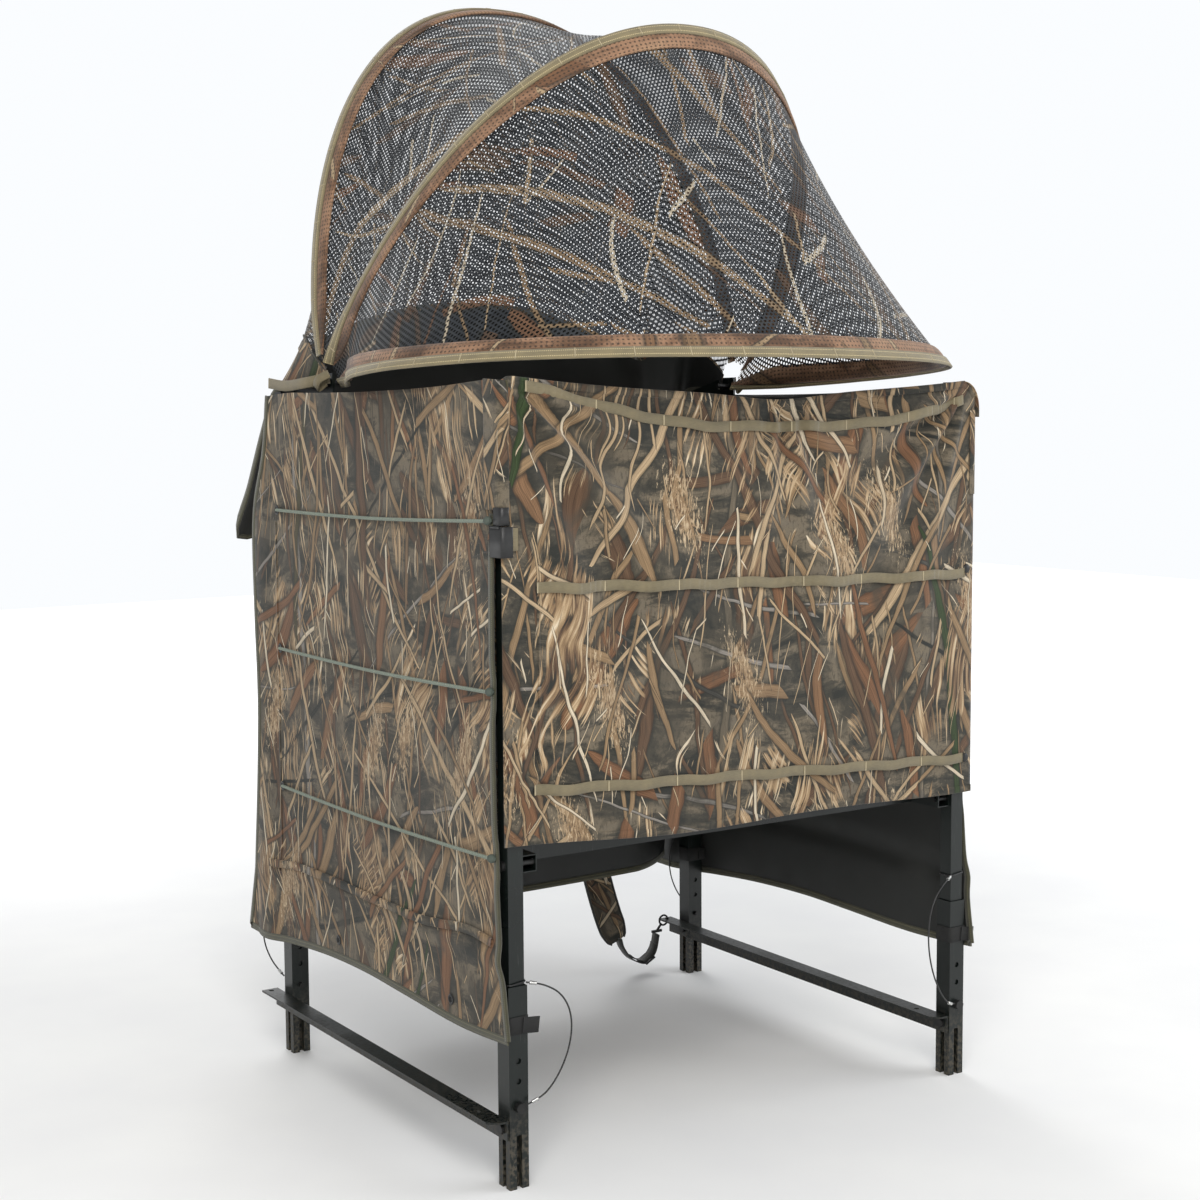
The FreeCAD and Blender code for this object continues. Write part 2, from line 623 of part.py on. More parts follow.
def backpack_straps():
    """Padded carrying straps down the rear cloth; the right one hangs to the foot rail."""
    bent_strap("backpack_strap_right", RIGHT_STRAP, STRAP_WIDE, STRAP_THICK)
    bent_strap("backpack_strap_left", LEFT_STRAP, STRAP_WIDE, STRAP_THICK)
    right_tail = [(296, 58), (304, 45), (316, 33), (330, 25), (345, 22), (358, 30), (368, 44), (372, 74)]
    left_tail = [(-246, 306), (-262, 280), (-276, 269), (-292, 262), (-312, 262), (-330, 268), (-352, 285)]
    tails = [flat_loop(right_tail, 425, 401, WEB_THICK), flat_loop(left_tail, 438, 414, WEB_THICK)]
    feature(Part.makeCompound(tails), "strap_webbing")


def snap_hook(label, eye, ring):
    """A swivel snap hook: a flat eye for the webbing and a ring through what it hooks."""
    hook = Part.makeTorus(10, 1.9, FreeCAD.Vector(*ring), FreeCAD.Vector(0, 1, 0))
    bar = Part.makeBox(24, 4, 5, FreeCAD.Vector(eye[0] - 12, eye[1] - 2, eye[2] - 2.5))
    run = FreeCAD.Vector(*ring) - FreeCAD.Vector(*eye)
    stem = Part.makeCylinder(2.4, run.Length - 8, FreeCAD.Vector(*eye), run)
    feature(hook.fuse([bar, stem]), label)


def build():
    for side in SIDES:
        for end in ENDS:
            post(side, end)
            sleeve(side, end)
            lock_pin(side, end)
        seat_rail(side)
        top_rail(side)
        foot_rail(side)
        foot_rail_bolts(side)
        hood_bracket(side)
        skirt(side)
        bungees(side)
    for end in ENDS:
        post_caps(end)
        pivot_bolts(end)
    post_inner = "(span_x / 2 - post_size / 2)"
    node(tube_x(post_inner, "-span_y / 2", "front_tube_height"), "front_cross_tube")
    rear_tubes = [tube_x(post_inner, "span_y / 2", z) for z in ("rear_tube_low", "rear_tube_high")]
    node(group(*rear_tubes), "rear_cross_tubes")
    rail_inner = "(span_x / 2 - 1.5 * post_size - rail_side_gap)"
    seat_tubes = [
        tube_x(rail_inner, y, "seat_height")
        for y in ("-span_y / 2 + seat_tube_front", "span_y / 2 - seat_tube_rear")
    ]
    node(group(*seat_tubes), "seat_cross_tubes")
    seat = box(
        f"2 * {post_inner} - 8", "span_y - 2 * seat_inset", "seat_thick", f"-{post_inner} + 4",
        "-span_y / 2 + seat_inset", "seat_height + post_size / 2 + 0.2",
    )
    node(seat, "seat_pad")
    backrest = box(
        "backrest_wide", "backrest_thick", "backrest_tall", "-backrest_wide / 2",
        "span_y / 2 - post_size / 2 - backrest_thick - 0.5", "backrest_low",
    )
    node(backrest, "backrest_pad")
    hood_pivot_bolts()
    hood()
    front_cloth()
    back_panel()
    clips = []
    for sign in ("-1", "1"):
        x = f"{sign} * span_x / 2"
        outer = box(
            "clip_outer", "clip_outer", "clip_tall", f"{x} - clip_outer / 2", "-span_y / 2 - clip_outer / 2",
            "clip_height",
        )
        inner = box(
            "clip_inner", "clip_inner", "clip_tall + 2", f"{x} - clip_inner / 2", "-span_y / 2 - clip_inner / 2",
            "clip_height - 1",
        )
        clips.append(cut(outer, inner))
    node(group(*clips), "panel_clips")
    for (side, end), (loop_z, route) in LANYARDS.items():
        lanyard(side, end, route, loop_z)
    backpack_straps()
    tip_x = size("span_x") / 2 - size("sleeve_size") / 2 - size("body_gap") - size("foot_flange") * 0.55
    tip_y = size("span_y") / 2 + size("foot_hole_rear")
    ring_z = size("foot_top") - size("foot_sheet") / 2
    snap_hook("snap_hook_right", (tip_x - 26, tip_y, ring_z - 20), (tip_x - 9, tip_y, ring_z))
    snap_hook("snap_hook_left", (-360, 424, 296), (-386, 424, 318))


def write():
    doc.recompute()
    for obj in doc.Objects:
        assert not {"Invalid", "Error"} & set(obj.State), f"{obj.Name} {obj.Label}: {obj.State}"
    for obj in nodes:
        assert not obj.Shape.isNull() and obj.Shape.isValid(), obj.Label
        assert obj.Shape.Solids and obj.Shape.Volume > 0, obj.Label
    assert len({obj.Label for obj in nodes}) == len(nodes)
    os.makedirs("parts", exist_ok=True)
    for obj in nodes:
        obj.Shape.exportStep(f"parts/{obj.Label}.step")
        box_size = obj.Shape.BoundBox
        print(f"{obj.Label}: {box_size.XLength:.0f} x {box_size.YLength:.0f} x {box_size.ZLength:.0f}")
    print(len(nodes), "nodes")


build()
write()
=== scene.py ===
import math

import bmesh
import bpy
import numpy as np
from mathutils import Matrix, Vector


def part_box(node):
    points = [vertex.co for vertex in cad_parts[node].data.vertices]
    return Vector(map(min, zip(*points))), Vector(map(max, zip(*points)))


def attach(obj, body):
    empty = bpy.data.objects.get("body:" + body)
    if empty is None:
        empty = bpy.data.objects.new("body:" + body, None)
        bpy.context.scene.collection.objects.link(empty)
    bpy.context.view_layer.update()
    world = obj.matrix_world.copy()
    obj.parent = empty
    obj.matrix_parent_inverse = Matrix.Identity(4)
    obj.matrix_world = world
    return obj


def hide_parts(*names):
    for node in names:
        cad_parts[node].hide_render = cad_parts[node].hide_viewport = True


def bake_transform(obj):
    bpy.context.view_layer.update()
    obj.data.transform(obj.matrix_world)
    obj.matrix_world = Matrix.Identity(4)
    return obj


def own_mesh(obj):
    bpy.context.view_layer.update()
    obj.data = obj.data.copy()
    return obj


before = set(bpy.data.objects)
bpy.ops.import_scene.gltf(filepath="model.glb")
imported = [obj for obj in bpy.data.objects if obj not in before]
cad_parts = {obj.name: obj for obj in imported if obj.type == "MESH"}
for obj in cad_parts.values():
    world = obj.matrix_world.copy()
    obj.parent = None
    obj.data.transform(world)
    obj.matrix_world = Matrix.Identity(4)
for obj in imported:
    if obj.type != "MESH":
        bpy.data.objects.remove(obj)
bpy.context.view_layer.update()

# ---------------------------------------------------------------- places, from the frame
def middle(node):
    low, high = (np.array(p, float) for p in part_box(node))
    return (low + high) / 2


POST_X, POST_Y = middle("rear_post_right")[0], middle("rear_post_right")[1]
SLEEVE_HALF = 0.0159
FRONT_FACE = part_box("front_panel")[0][1]
PANEL_LOW, PANEL_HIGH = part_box("front_panel")[0][2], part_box("front_panel")[1][2]
PANEL_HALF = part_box("front_panel")[1][0]
SKIRT_X = -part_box("side_skirt_left")[0][0]
# the middle of the hood's pivot line, and each hoop's turn about it: 0 is straight forward, 90 straight up
HOOD = np.array([0.0, 0.224, 1.175])
REAR_DEG, MIDDLE_DEG, FRONT_DEG = 101.0, 50.0, 2.5
SIGN = {"left": -1, "right": 1}
CLOTH_THICK, THIN_CLOTH = 0.0012, 0.0010
FRONT_PRINT = 0.6
ELASTIC_RADIUS = 0.00275
HOOP_POINTS = 360
UPRIGHT = (0, 0, 1)

# ---------------------------------------------------------------- camera
CAMERA_AT = (-1.8211, -2.6914, 1.1029)
CAMERA_YAW, CAMERA_PITCH, CAMERA_ROLL = 33.654, -5.227, -0.3625
FOCAL_PER_WIDTH = 1.5952
camera = bpy.data.objects.new("camera", bpy.data.cameras.new("camera"))
bpy.context.scene.collection.objects.link(camera)
camera.data.sensor_width = 36
camera.data.lens = 36 * FOCAL_PER_WIDTH
camera.data.clip_end = 60
turn = Matrix.Rotation(math.radians(-CAMERA_YAW), 4, "Z")
turn = turn @ Matrix.Rotation(math.radians(90 + CAMERA_PITCH), 4, "X")
turn = turn @ Matrix.Rotation(math.radians(CAMERA_ROLL), 4, "Z")
camera.matrix_world = Matrix.Translation(CAMERA_AT) @ turn
bpy.context.scene.camera = camera


# ---------------------------------------------------------------- node helpers
class Tree:
    """Short calls for building a material's or a group's node tree."""

    def __init__(self, tree):
        self.tree = tree

    def add(self, kind, **settings):
        node = self.tree.nodes.new(kind)
        for name, value in settings.items():
            setattr(node, name, value)
        return node

    def feed(self, socket, value):
        if isinstance(value, bpy.types.NodeSocket):
            self.tree.links.new(value, socket)
        elif value is not None:
            if hasattr(socket.default_value, "__len__") and not hasattr(value, "__len__"):
                value = (value,) * len(socket.default_value)
            if hasattr(value, "__len__") and len(value) == 3 and len(socket.default_value) == 4:
                value = (*value, 1)
            socket.default_value = value

    def math(self, operation, a, b=None, clamp=False):
        node = self.add("ShaderNodeMath", operation=operation, use_clamp=clamp)
        self.feed(node.inputs[0], a)
        self.feed(node.inputs[1], b)
        return node.outputs[0]

    def times(self, a, b):
        return self.math("MULTIPLY", a, b)

    def plus(self, a, b):
        return self.math("ADD", a, b)

    def minus(self, a, b, clamp=False):
        return self.math("SUBTRACT", a, b, clamp)

    def vector(self, operation, a, b=None, scale=None):
        node = self.add("ShaderNodeVectorMath", operation=operation)
        self.feed(node.inputs[0], a)
        if b is not None:
            self.feed(node.inputs[1], b)
        if scale is not None:
            self.feed(node.inputs["Scale"], scale)
        return node.outputs[0]

    def scaled(self, a, b):
        return self.vector("MULTIPLY", a, b)

    def turned(self, vector, angle):
        node = self.add("ShaderNodeVectorRotate", rotation_type="Z_AXIS")
        self.feed(node.inputs["Vector"], vector)
        self.feed(node.inputs["Angle"], angle)
        return node.outputs[0]

    def far(self, vector):
        node = self.add("ShaderNodeVectorMath", operation="LENGTH")
        self.feed(node.inputs[0], vector)
        return node.outputs["Value"]

    def spread(self, value, low, high, to_low=0.0, to_high=1.0, smooth=True):
        node = self.add("ShaderNodeMapRange", interpolation_type="SMOOTHSTEP" if smooth else "LINEAR")
        for i, v in enumerate((value, low, high, to_low, to_high)):
            self.feed(node.inputs[i], v)
        return node.outputs[0]

    def mix(self, factor, a, b, blend="MIX"):
        node = self.add("ShaderNodeMix", data_type="RGBA", blend_type=blend)
        self.feed(node.inputs[0], factor)
        self.feed(node.inputs[6], a)
        self.feed(node.inputs[7], b)
        return node.outputs[2]

    def ramp(self, value, *stops):
        node = self.add("ShaderNodeValToRGB")
        ramp = node.color_ramp
        while len(ramp.elements) < len(stops):
            ramp.elements.new(0.5)
        for element, (place, colour) in zip(ramp.elements, stops):
            element.position = place
            element.color = (*colour, 1) if hasattr(colour, "__len__") else (colour, colour, colour, 1)
        self.feed(node.inputs[0], value)
        return node.outputs[0]

    def noise(self, vector, scale, detail=3.0, rough=0.55, distort=0.0, output=0):
        node = self.add("ShaderNodeTexNoise")
        for name, v in (("Vector", vector), ("Scale", scale), ("Detail", detail), ("Roughness", rough)):
            self.feed(node.inputs[name], v)
        self.feed(node.inputs["Distortion"], distort)
        return node.outputs[output]

    def wave(self, vector, scale, direction="X", distort=0.0, profile="SIN"):
        node = self.add("ShaderNodeTexWave", bands_direction=direction, wave_profile=profile)
        for name, v in (("Vector", vector), ("Scale", scale), ("Distortion", distort)):
            self.feed(node.inputs[name], v)
        return node.outputs[1]

    def bump(self, height, strength=0.3, distance=0.001):
        node = self.add("ShaderNodeBump")
        for name, v in (("Height", height), ("Strength", strength), ("Distance", distance)):
            self.feed(node.inputs[name], v)
        return node.outputs[0]

    def uv(self):
        return self.add("ShaderNodeUVMap", uv_map="cloth").outputs[0]

    def place(self):
        return self.add("ShaderNodeTexCoord").outputs["Object"]


def material(name):
    """A new material with one Principled shader, and the calls to build it."""
    made = bpy.data.materials.new(name)
    made.use_nodes = True
    return made, Tree(made.node_tree), made.node_tree.nodes["Principled BSDF"]


def wave_count(per_metre):
    """The Wave texture's scale for that many bands per metre."""
    return per_metre * math.pi / 10


# ---------------------------------------------------------------- the printed pattern
STRAW, PALE, TAN = (0.46, 0.335, 0.20), (0.66, 0.56, 0.41), (0.28, 0.185, 0.10)
RUST, BROWN, DARK = (0.19, 0.095, 0.048), (0.115, 0.068, 0.040), (0.022, 0.023, 0.019)
BARK, GREEN, TAUPE = (0.25, 0.225, 0.195), (0.035, 0.055, 0.020), (0.150, 0.122, 0.084)
SHADOW = (0.058, 0.051, 0.038)


def blade_group():
    """One layer of leaf blades: long cells, each with one bent, tapering blade of its own colour."""
    group = bpy.data.node_groups.new("blade_layer", "ShaderNodeTree")
    floats = ("Angle", "Length", "Gap", "Width", "Spread", "Bend", "Seed", "Keep")
    wanted = [("Vector", "Vector")] + [(name, "Float") for name in floats]
    wanted += [(name, "Color") for name in ("First", "Second", "Under")]
    for name, kind in wanted:
        group.interface.new_socket(name, in_out="INPUT", socket_type=f"NodeSocket{kind}")
    group.interface.new_socket("Color", in_out="OUTPUT", socket_type="NodeSocketColor")
    t = Tree(group)
    given = t.add("NodeGroupInput").outputs
    turned = t.turned(given["Vector"], t.times(given["Angle"], -1.0))
    shift = t.add("ShaderNodeCombineXYZ")
    t.feed(shift.inputs[0], given["Seed"])
    t.feed(shift.inputs[1], t.times(given["Seed"], 1.7))
    moved = t.vector("ADD", turned, shift.outputs[0])
    cell = t.add("ShaderNodeCombineXYZ")
    t.feed(cell.inputs[0], given["Length"])
    t.feed(cell.inputs[1], given["Gap"])
    cell.inputs[2].default_value = 1
    stretched = t.vector("DIVIDE", moved, cell.outputs[0])
    cells = t.add("ShaderNodeTexVoronoi", voronoi_dimensions="2D")
    cells.inputs["Scale"].default_value = 1
    cells.inputs["Randomness"].default_value = 0.85
    t.feed(cells.inputs["Vector"], stretched)
    off_centre = t.vector("SUBTRACT", stretched, cells.outputs["Position"])
    local = t.scaled(off_centre, cell.outputs[0])
    dice = t.add("ShaderNodeSeparateColor")
    t.feed(dice.inputs[0], cells.outputs["Color"])
    swing = t.times(t.minus(dice.outputs[0], 0.5), given["Spread"])
    own = t.turned(local, swing)
    parts = t.add("ShaderNodeSeparateXYZ")
    t.feed(parts.inputs[0], own)
    along, across = parts.outputs[0], parts.outputs[1]
    curl = t.times(t.minus(dice.outputs[1], 0.5), given["Bend"])
    across = t.minus(across, t.times(curl, t.times(along, along)))
    reach = t.math("DIVIDE", along, t.times(given["Length"], 0.47))
    taper = t.math("POWER", t.minus(1.0, t.times(reach, reach), clamp=True), 0.45)
    broad = t.times(given["Width"], t.plus(0.45, dice.outputs[2]))
    rag = t.noise(t.scaled(own, (45.0, 160.0, 1.0)), 1.0, 2.0)
    broad = t.times(broad, t.plus(0.72, t.times(rag, 0.5)))
    half = t.math("MAXIMUM", t.times(broad, taper), 1e-6)
    ratio = t.math("DIVIDE", across, half)
    edge = t.math("ABSOLUTE", ratio)
    here = t.math("LESS_THAN", t.math("FRACT", t.times(dice.outputs[0], 7.31)), given["Keep"])
    open_end = t.math("GREATER_THAN", taper, 0.02)
    here = t.times(here, open_end)
    blade = t.times(t.spread(edge, 0.88, 1.02, 1.0, 0.0), here)
    shade = t.times(t.spread(edge, 0.9, 1.9, 0.75, 0.0), here)
    pick = t.math("FRACT", t.times(dice.outputs[1], 5.17))
    streaks = t.noise(t.scaled(own, (22.0, 900.0, 1.0)), 1.0, 3.0)
    paint = t.mix(t.spread(pick, 0.35, 0.65), given["First"], given["Second"])
    side = t.spread(ratio, -1.0, 1.0, smooth=False)
    creases = ((0.0, 0.30), (0.16, 0.85), (0.44, 1.15), (0.5, 0.62), (0.56, 1.0), (0.86, 0.8), (1.0, 0.28))
    light = t.ramp(side, *creases)
    paint = t.mix(1.0, paint, light, "MULTIPLY")
    paint = t.mix(1.0, paint, t.ramp(streaks, (0.3, 0.55), (0.7, 1.25)), "MULTIPLY")
    under = t.mix(shade, given["Under"], DARK)
    done = t.mix(blade, under, paint)
    t.feed(t.add("NodeGroupOutput").inputs[0], done)
    return group


BLADES = blade_group()
# angle, length, gap, half width, spread, bend, keep, two colours
PRINT_LAYERS = [
    (86, 1.30, 0.260, 0.0085, 8, 0.1, 0.80, TAUPE, BARK),
    (60, 0.24, 0.070, 0.0140, 120, 3.0, 0.60, BROWN, RUST),
    (100, 0.40, 0.034, 0.0036, 60, 1.6, 0.85, BROWN, TAN),
    (150, 0.42, 0.090, 0.0030, 60, 1.4, 0.70, DARK, BARK),
    (72, 0.50, 0.046, 0.0050, 60, 1.4, 0.75, TAN, BROWN),
    (125, 0.22, 0.060, 0.0115, 100, 4.0, 0.50, RUST, TAN),
    (45, 0.90, 0.150, 0.0068, 34, 0.3, 0.80, STRAW, TAN),
    (104, 0.60, 0.230, 0.0085, 50, 0.9, 0.45, GREEN, BROWN),
    (88, 0.26, 0.022, 0.0019, 70, 3.2, 0.50, TAN, STRAW),
    (66, 0.36, 0.050, 0.0040, 90, 2.4, 0.50, STRAW, TAN),
    (112, 0.30, 0.060, 0.0034, 90, 2.6, 0.55, PALE, STRAW),
    (80, 0.15, 0.015, 0.0011, 80, 4.5, 0.32, PALE, STRAW),
    (98, 0.42, 0.120, 0.0062, 120, 1.6, 0.45, TAN, RUST),
]
GAPS_AFTER = (2, 5)
# stands of fine grass: after which layer, lean in degrees, where on the pattern, the level they start at
GRASS_AFTER = {3: (4, 0.0, 0.60), 5: (-38, 0.83, 0.615), 8: (18, 1.71, 0.615)}


def grass(t, vector, colour, lean, shift, low):
    """A stand of fine curved grass in ragged patches."""
    moved = t.vector("ADD", vector, (shift, shift * 0.6, 0.0))
    swirl = t.vector("SUBTRACT", t.noise(moved, 3.2, 2.0, output=1), (0.5, 0.5, 0.5))
    bent = t.vector("ADD", moved, t.vector("SCALE", swirl, scale=0.16))
    turned = t.turned(bent, math.radians(lean))
    strands = t.noise(t.scaled(turned, (130.0, 6.5, 1.0)), 1.0, 4.0, 0.62)
    tone = t.ramp(strands, (0.40, DARK), (0.47, BROWN), (0.545, TAN), (0.62, STRAW), (0.70, PALE))
    patch = t.noise(t.scaled(moved, (6.0, 3.6, 1.0)), 1.0, 3.0, 0.6)
    patch = t.plus(patch, t.times(t.minus(strands, 0.5), 0.55))
    return t.mix(t.spread(patch, low, low + 0.035), colour, tone)


def plumes(t, vector, colour):
    """Fuzzy seed heads: leaning oval patches of fine pale strokes."""
    stretched = t.scaled(t.turned(vector, math.radians(-22)), (4.6, 2.1, 1.0))
    cells = t.add("ShaderNodeTexVoronoi", voronoi_dimensions="2D")
    cells.inputs["Scale"].default_value = 1
    t.feed(cells.inputs["Vector"], stretched)
    off_centre = t.vector("SUBTRACT", stretched, cells.outputs["Position"])
    local = t.vector("DIVIDE", off_centre, (0.16, 0.20, 1.0))
    away = t.far(local)
    frayed = t.noise(t.scaled(vector, (260.0, 60.0, 1.0)), 1.0, 4.0, 0.65, 1.2)
    fill = t.spread(t.plus(away, t.times(frayed, 3.2)), 1.9, 2.3, 1.0, 0.0)
    tone = t.ramp(frayed, (0.34, (0.52, 0.41, 0.27)), (0.50, TAN), (0.60, BROWN))
    return t.mix(fill, colour, tone)


def printed(t, vector, layers=None, base=None):
    """The print's colour at a place on the cloth, in metres."""
    warp = t.noise(vector, 9.0, 2.0, output=1)
    sway = t.vector("SCALE", t.vector("SUBTRACT", warp, (0.5, 0.5, 0.5)), scale=0.020)

    def after(done):
        """The place, read through the layer below so that the layers are worked out one at a time."""
        node = t.add("ShaderNodeVectorMath", operation="MULTIPLY_ADD")
        t.feed(node.inputs[0], done)
        t.feed(node.inputs[1], (1e-6, 1e-6, 1e-6))
        t.feed(node.inputs[2], vector)
        return node.outputs[0]

    mud = t.noise(t.scaled(vector, (7.0, 17.0, 1.0)), 1.0, 8.0, 0.68, 0.6)
    ground, dim, lit, light = base or (DARK, SHADOW, TAUPE, (0.14, 0.118, 0.088))
    colour = t.ramp(mud, (0.40, ground), (0.48, dim), (0.54, lit), (0.68, light))
    flecks = t.noise(t.scaled(vector, (240.0, 90.0, 1.0)), 1.0, 3.0)
    colour = t.mix(t.spread(flecks, 0.5, 0.72, 0.0, 0.6), colour, DARK)
    chosen = layers or PRINT_LAYERS
    for i, (angle, length, gap, width, spread, bend, keep, first, second) in enumerate(chosen):
        if layers is None and i in GAPS_AFTER:
            moved = t.vector("ADD", after(colour), (0.37 * i, 0.21 * i, 0.0))
            holes = t.noise(t.scaled(moved, (11.0, 6.0, 1.0)), 1.0, 5.0, 0.62, 1.2)
            colour = t.mix(t.spread(holes, 0.52, 0.66, 0.0, 0.7), colour, SHADOW)
        if layers is None and i in GRASS_AFTER:
            colour = grass(t, after(colour), colour, *GRASS_AFTER[i])
        layer = t.add("ShaderNodeGroup")
        layer.node_tree = BLADES
        values = {
            "Vector": t.vector("ADD", after(colour), sway), "Angle": math.radians(angle), "Length": length,
            "Gap": gap, "Width": width,
        }
        values |= {"Spread": math.radians(spread), "Bend": bend, "Seed": 3.1 * i + 1, "Keep": keep}
        values |= {"First": first, "Second": second, "Under": colour}
        for name, value in values.items():
            t.feed(layer.inputs[name], value)
        colour = layer.outputs[0]
        if layers is None and i == 9:
            colour = plumes(t, after(colour), colour)
    grain = t.noise(after(colour), 1500.0, 2.0)
    return t.mix(1.0, colour, t.ramp(grain, (0.3, 0.72), (0.7, 1.22)), "MULTIPLY")


def weave(t, vector, per_metre, strength=0.25, distance=0.0004):
    """A plain weave's bump."""
    warp = t.wave(vector, wave_count(per_metre), "X")
    weft = t.wave(vector, wave_count(per_metre), "Y")
    return t.bump(t.times(warp, weft), strength, distance)


def cloth_material(name, brightness=1.0, layers=None, rough=0.82, base=None, mesh_holes=None):
    made, t, shader = material(name)
    uv = t.uv()
    colour = printed(t, uv, layers, base)
    if mesh_holes:
        # the net's holes are painted darker: partly the dark bar behind the net, partly painted shade inside
        # the sleeve
        holes = t.times(t.wave(uv, wave_count(mesh_holes), "X"), t.wave(uv, wave_count(mesh_holes), "Y"))
        colour = t.mix(t.spread(holes, 0.35, 0.75, 0.0, 0.8), colour, (0.03, 0.02, 0.014))
    worn = t.noise(uv, 5.0, 4.0)
    colour = t.mix(1.0, colour, t.ramp(worn, (0.3, 0.88 * brightness), (0.7, 1.1 * brightness)), "MULTIPLY")
    t.feed(shader.inputs["Base Color"], colour)
    t.feed(shader.inputs["Roughness"], t.spread(worn, 0.3, 0.7, rough - 0.08, rough + 0.06))
    shader.inputs["Sheen Weight"].default_value = 0.12
    shader.inputs["Specular IOR Level"].default_value = 0.25
    t.feed(shader.inputs["Normal"], weave(t, uv, 900))
    return made


def lining_material():
    made, t, shader = material("black_coated_lining")
    uv = t.uv()
    grain = t.noise(uv, 700.0, 3.0)
    cloud = t.noise(uv, 12.0, 4.0)
    colour = t.ramp(cloud, (0.3, (0.010, 0.011, 0.010)), (0.7, (0.022, 0.023, 0.021)))
    t.feed(shader.inputs["Base Color"], colour)
    t.feed(shader.inputs["Roughness"], t.spread(cloud, 0.3, 0.7, 0.52, 0.68))
    t.feed(shader.inputs["Normal"], t.bump(grain, 0.25, 0.0004))
    return made


def webbing_material(name, light, dark, rib=900, stitch=None):
    """Ribbed webbing: u runs along it, v across it, in metres."""
    made, t, shader = material(name)
    uv = t.uv()
    ribs = t.wave(uv, wave_count(rib), "X")
    cross = t.wave(uv, wave_count(1100), "Y")
    cloud = t.noise(uv, 30.0, 4.0)
    thread = t.noise(t.scaled(uv, (120.0, 2500.0, 1.0)), 1.0, 2.0)
    colour = t.mix(t.spread(cloud, 0.3, 0.7), dark, light)
    colour = t.mix(t.spread(thread, 0.35, 0.7, 0.0, 0.35), colour, tuple(c * 1.5 for c in light))
    colour = t.mix(t.times(ribs, 0.28), colour, tuple(c * 0.35 for c in dark))
    if stitch:
        split = t.add("ShaderNodeSeparateXYZ")
        t.feed(split.inputs[0], uv)
        off = t.math("ABSOLUTE", t.minus(t.math("ABSOLUTE", split.outputs[1]), stitch))
        line = t.spread(off, 0.0005, 0.0009, 1.0, 0.0)
        dash = t.math("GREATER_THAN", t.wave(uv, wave_count(330), "X"), 0.35)
        colour = t.mix(t.times(line, dash), colour, tuple(min(c * 2.2, 0.6) for c in light))
    t.feed(shader.inputs["Base Color"], colour)
    t.feed(shader.inputs["Roughness"], t.spread(cloud, 0.3, 0.7, 0.72, 0.9))
    shader.inputs["Sheen Weight"].default_value = 0.2
    ridges = t.plus(ribs, t.times(cross, 0.6))
    t.feed(shader.inputs["Normal"], t.bump(ridges, 0.35, 0.0005))
    return made


def paint_material():
    """Dark green-black paint with fine rubbed streaks, and mud low on the legs."""
    made, t, shader = material("dark_green_paint")
    place = t.place()
    split = t.add("ShaderNodeSeparateXYZ")
    t.feed(split.inputs[0], place)
    cloud = t.noise(place, 6.0, 5.0)
    fine = t.noise(place, 180.0, 4.0)
    scratch = t.noise(t.scaled(place, (700.0, 700.0, 25.0)), 1.0, 2.0)
    colour = t.ramp(cloud, (0.3, (0.0028, 0.0048, 0.0042)), (0.7, (0.0062, 0.0095, 0.0082)))
    low = t.spread(t.plus(split.outputs[2], t.times(fine, -0.05)), 0.0, 0.11, 1.0, 0.0)
    mud = t.times(low, t.spread(fine, 0.42, 0.62))
    colour = t.mix(t.times(mud, 0.7), colour, (0.10, 0.085, 0.062))
    rubbed = t.spread(scratch, 0.66, 0.72)
    colour = t.mix(t.times(rubbed, 0.35), colour, (0.07, 0.075, 0.072))
    t.feed(shader.inputs["Base Color"], colour)
    rough = t.spread(cloud, 0.3, 0.7, 0.26, 0.4)
    t.feed(shader.inputs["Roughness"], t.plus(rough, t.times(mud, 0.45)))
    shader.inputs["Specular IOR Level"].default_value = 0.38
    shader.inputs["Coat Weight"].default_value = 0.06
    t.feed(shader.inputs["Normal"], t.bump(fine, 0.06, 0.0004))
    return made


def plain_material(name, light, dark, rough, metal=0.0, grain=300.0, strength=0.12):
    """A moulded or metal finish with a cloudy colour, a fine grain and light wear."""
    made, t, shader = material(name)
    place = t.place()
    cloud = t.noise(place, 25.0, 4.0)
    fine = t.noise(place, grain, 3.0)
    colour = t.mix(t.spread(cloud, 0.3, 0.7), dark, light)
    pale = tuple(min(1.6 * c + 0.02, 1) for c in light)
    colour = t.mix(t.spread(fine, 0.6, 0.75, 0.0, 0.35), colour, pale)
    t.feed(shader.inputs["Base Color"], colour)
    t.feed(shader.inputs["Roughness"], t.spread(cloud, 0.3, 0.7, rough - 0.07, rough + 0.09))
    shader.inputs["Metallic"].default_value = metal
    t.feed(shader.inputs["Normal"], t.bump(fine, strength, 0.0005))
    return made


def elastic_material():
    """Braided elastic: two crossing spirals of thread. u runs along it, v round it."""
    made, t, shader = material("elastic_braid")
    uv = t.uv()
    a = t.wave(uv, wave_count(420), "DIAGONAL")
    flipped = t.scaled(uv, (1.0, -1.0, 1.0))
    b = t.wave(flipped, wave_count(420), "DIAGONAL")
    braid = t.math("MAXIMUM", a, b)
    flecks = t.noise(uv, 500.0, 2.0)
    colour = t.mix(braid, (0.06, 0.075, 0.06), (0.23, 0.27, 0.22))
    colour = t.mix(t.spread(flecks, 0.58, 0.66), colour, (0.34, 0.34, 0.26))
    t.feed(shader.inputs["Base Color"], colour)
    t.feed(shader.inputs["Roughness"], t.spread(flecks, 0.3, 0.7, 0.6, 0.8))
    t.feed(shader.inputs["Normal"], t.bump(braid, 0.5, 0.0006))
    return made


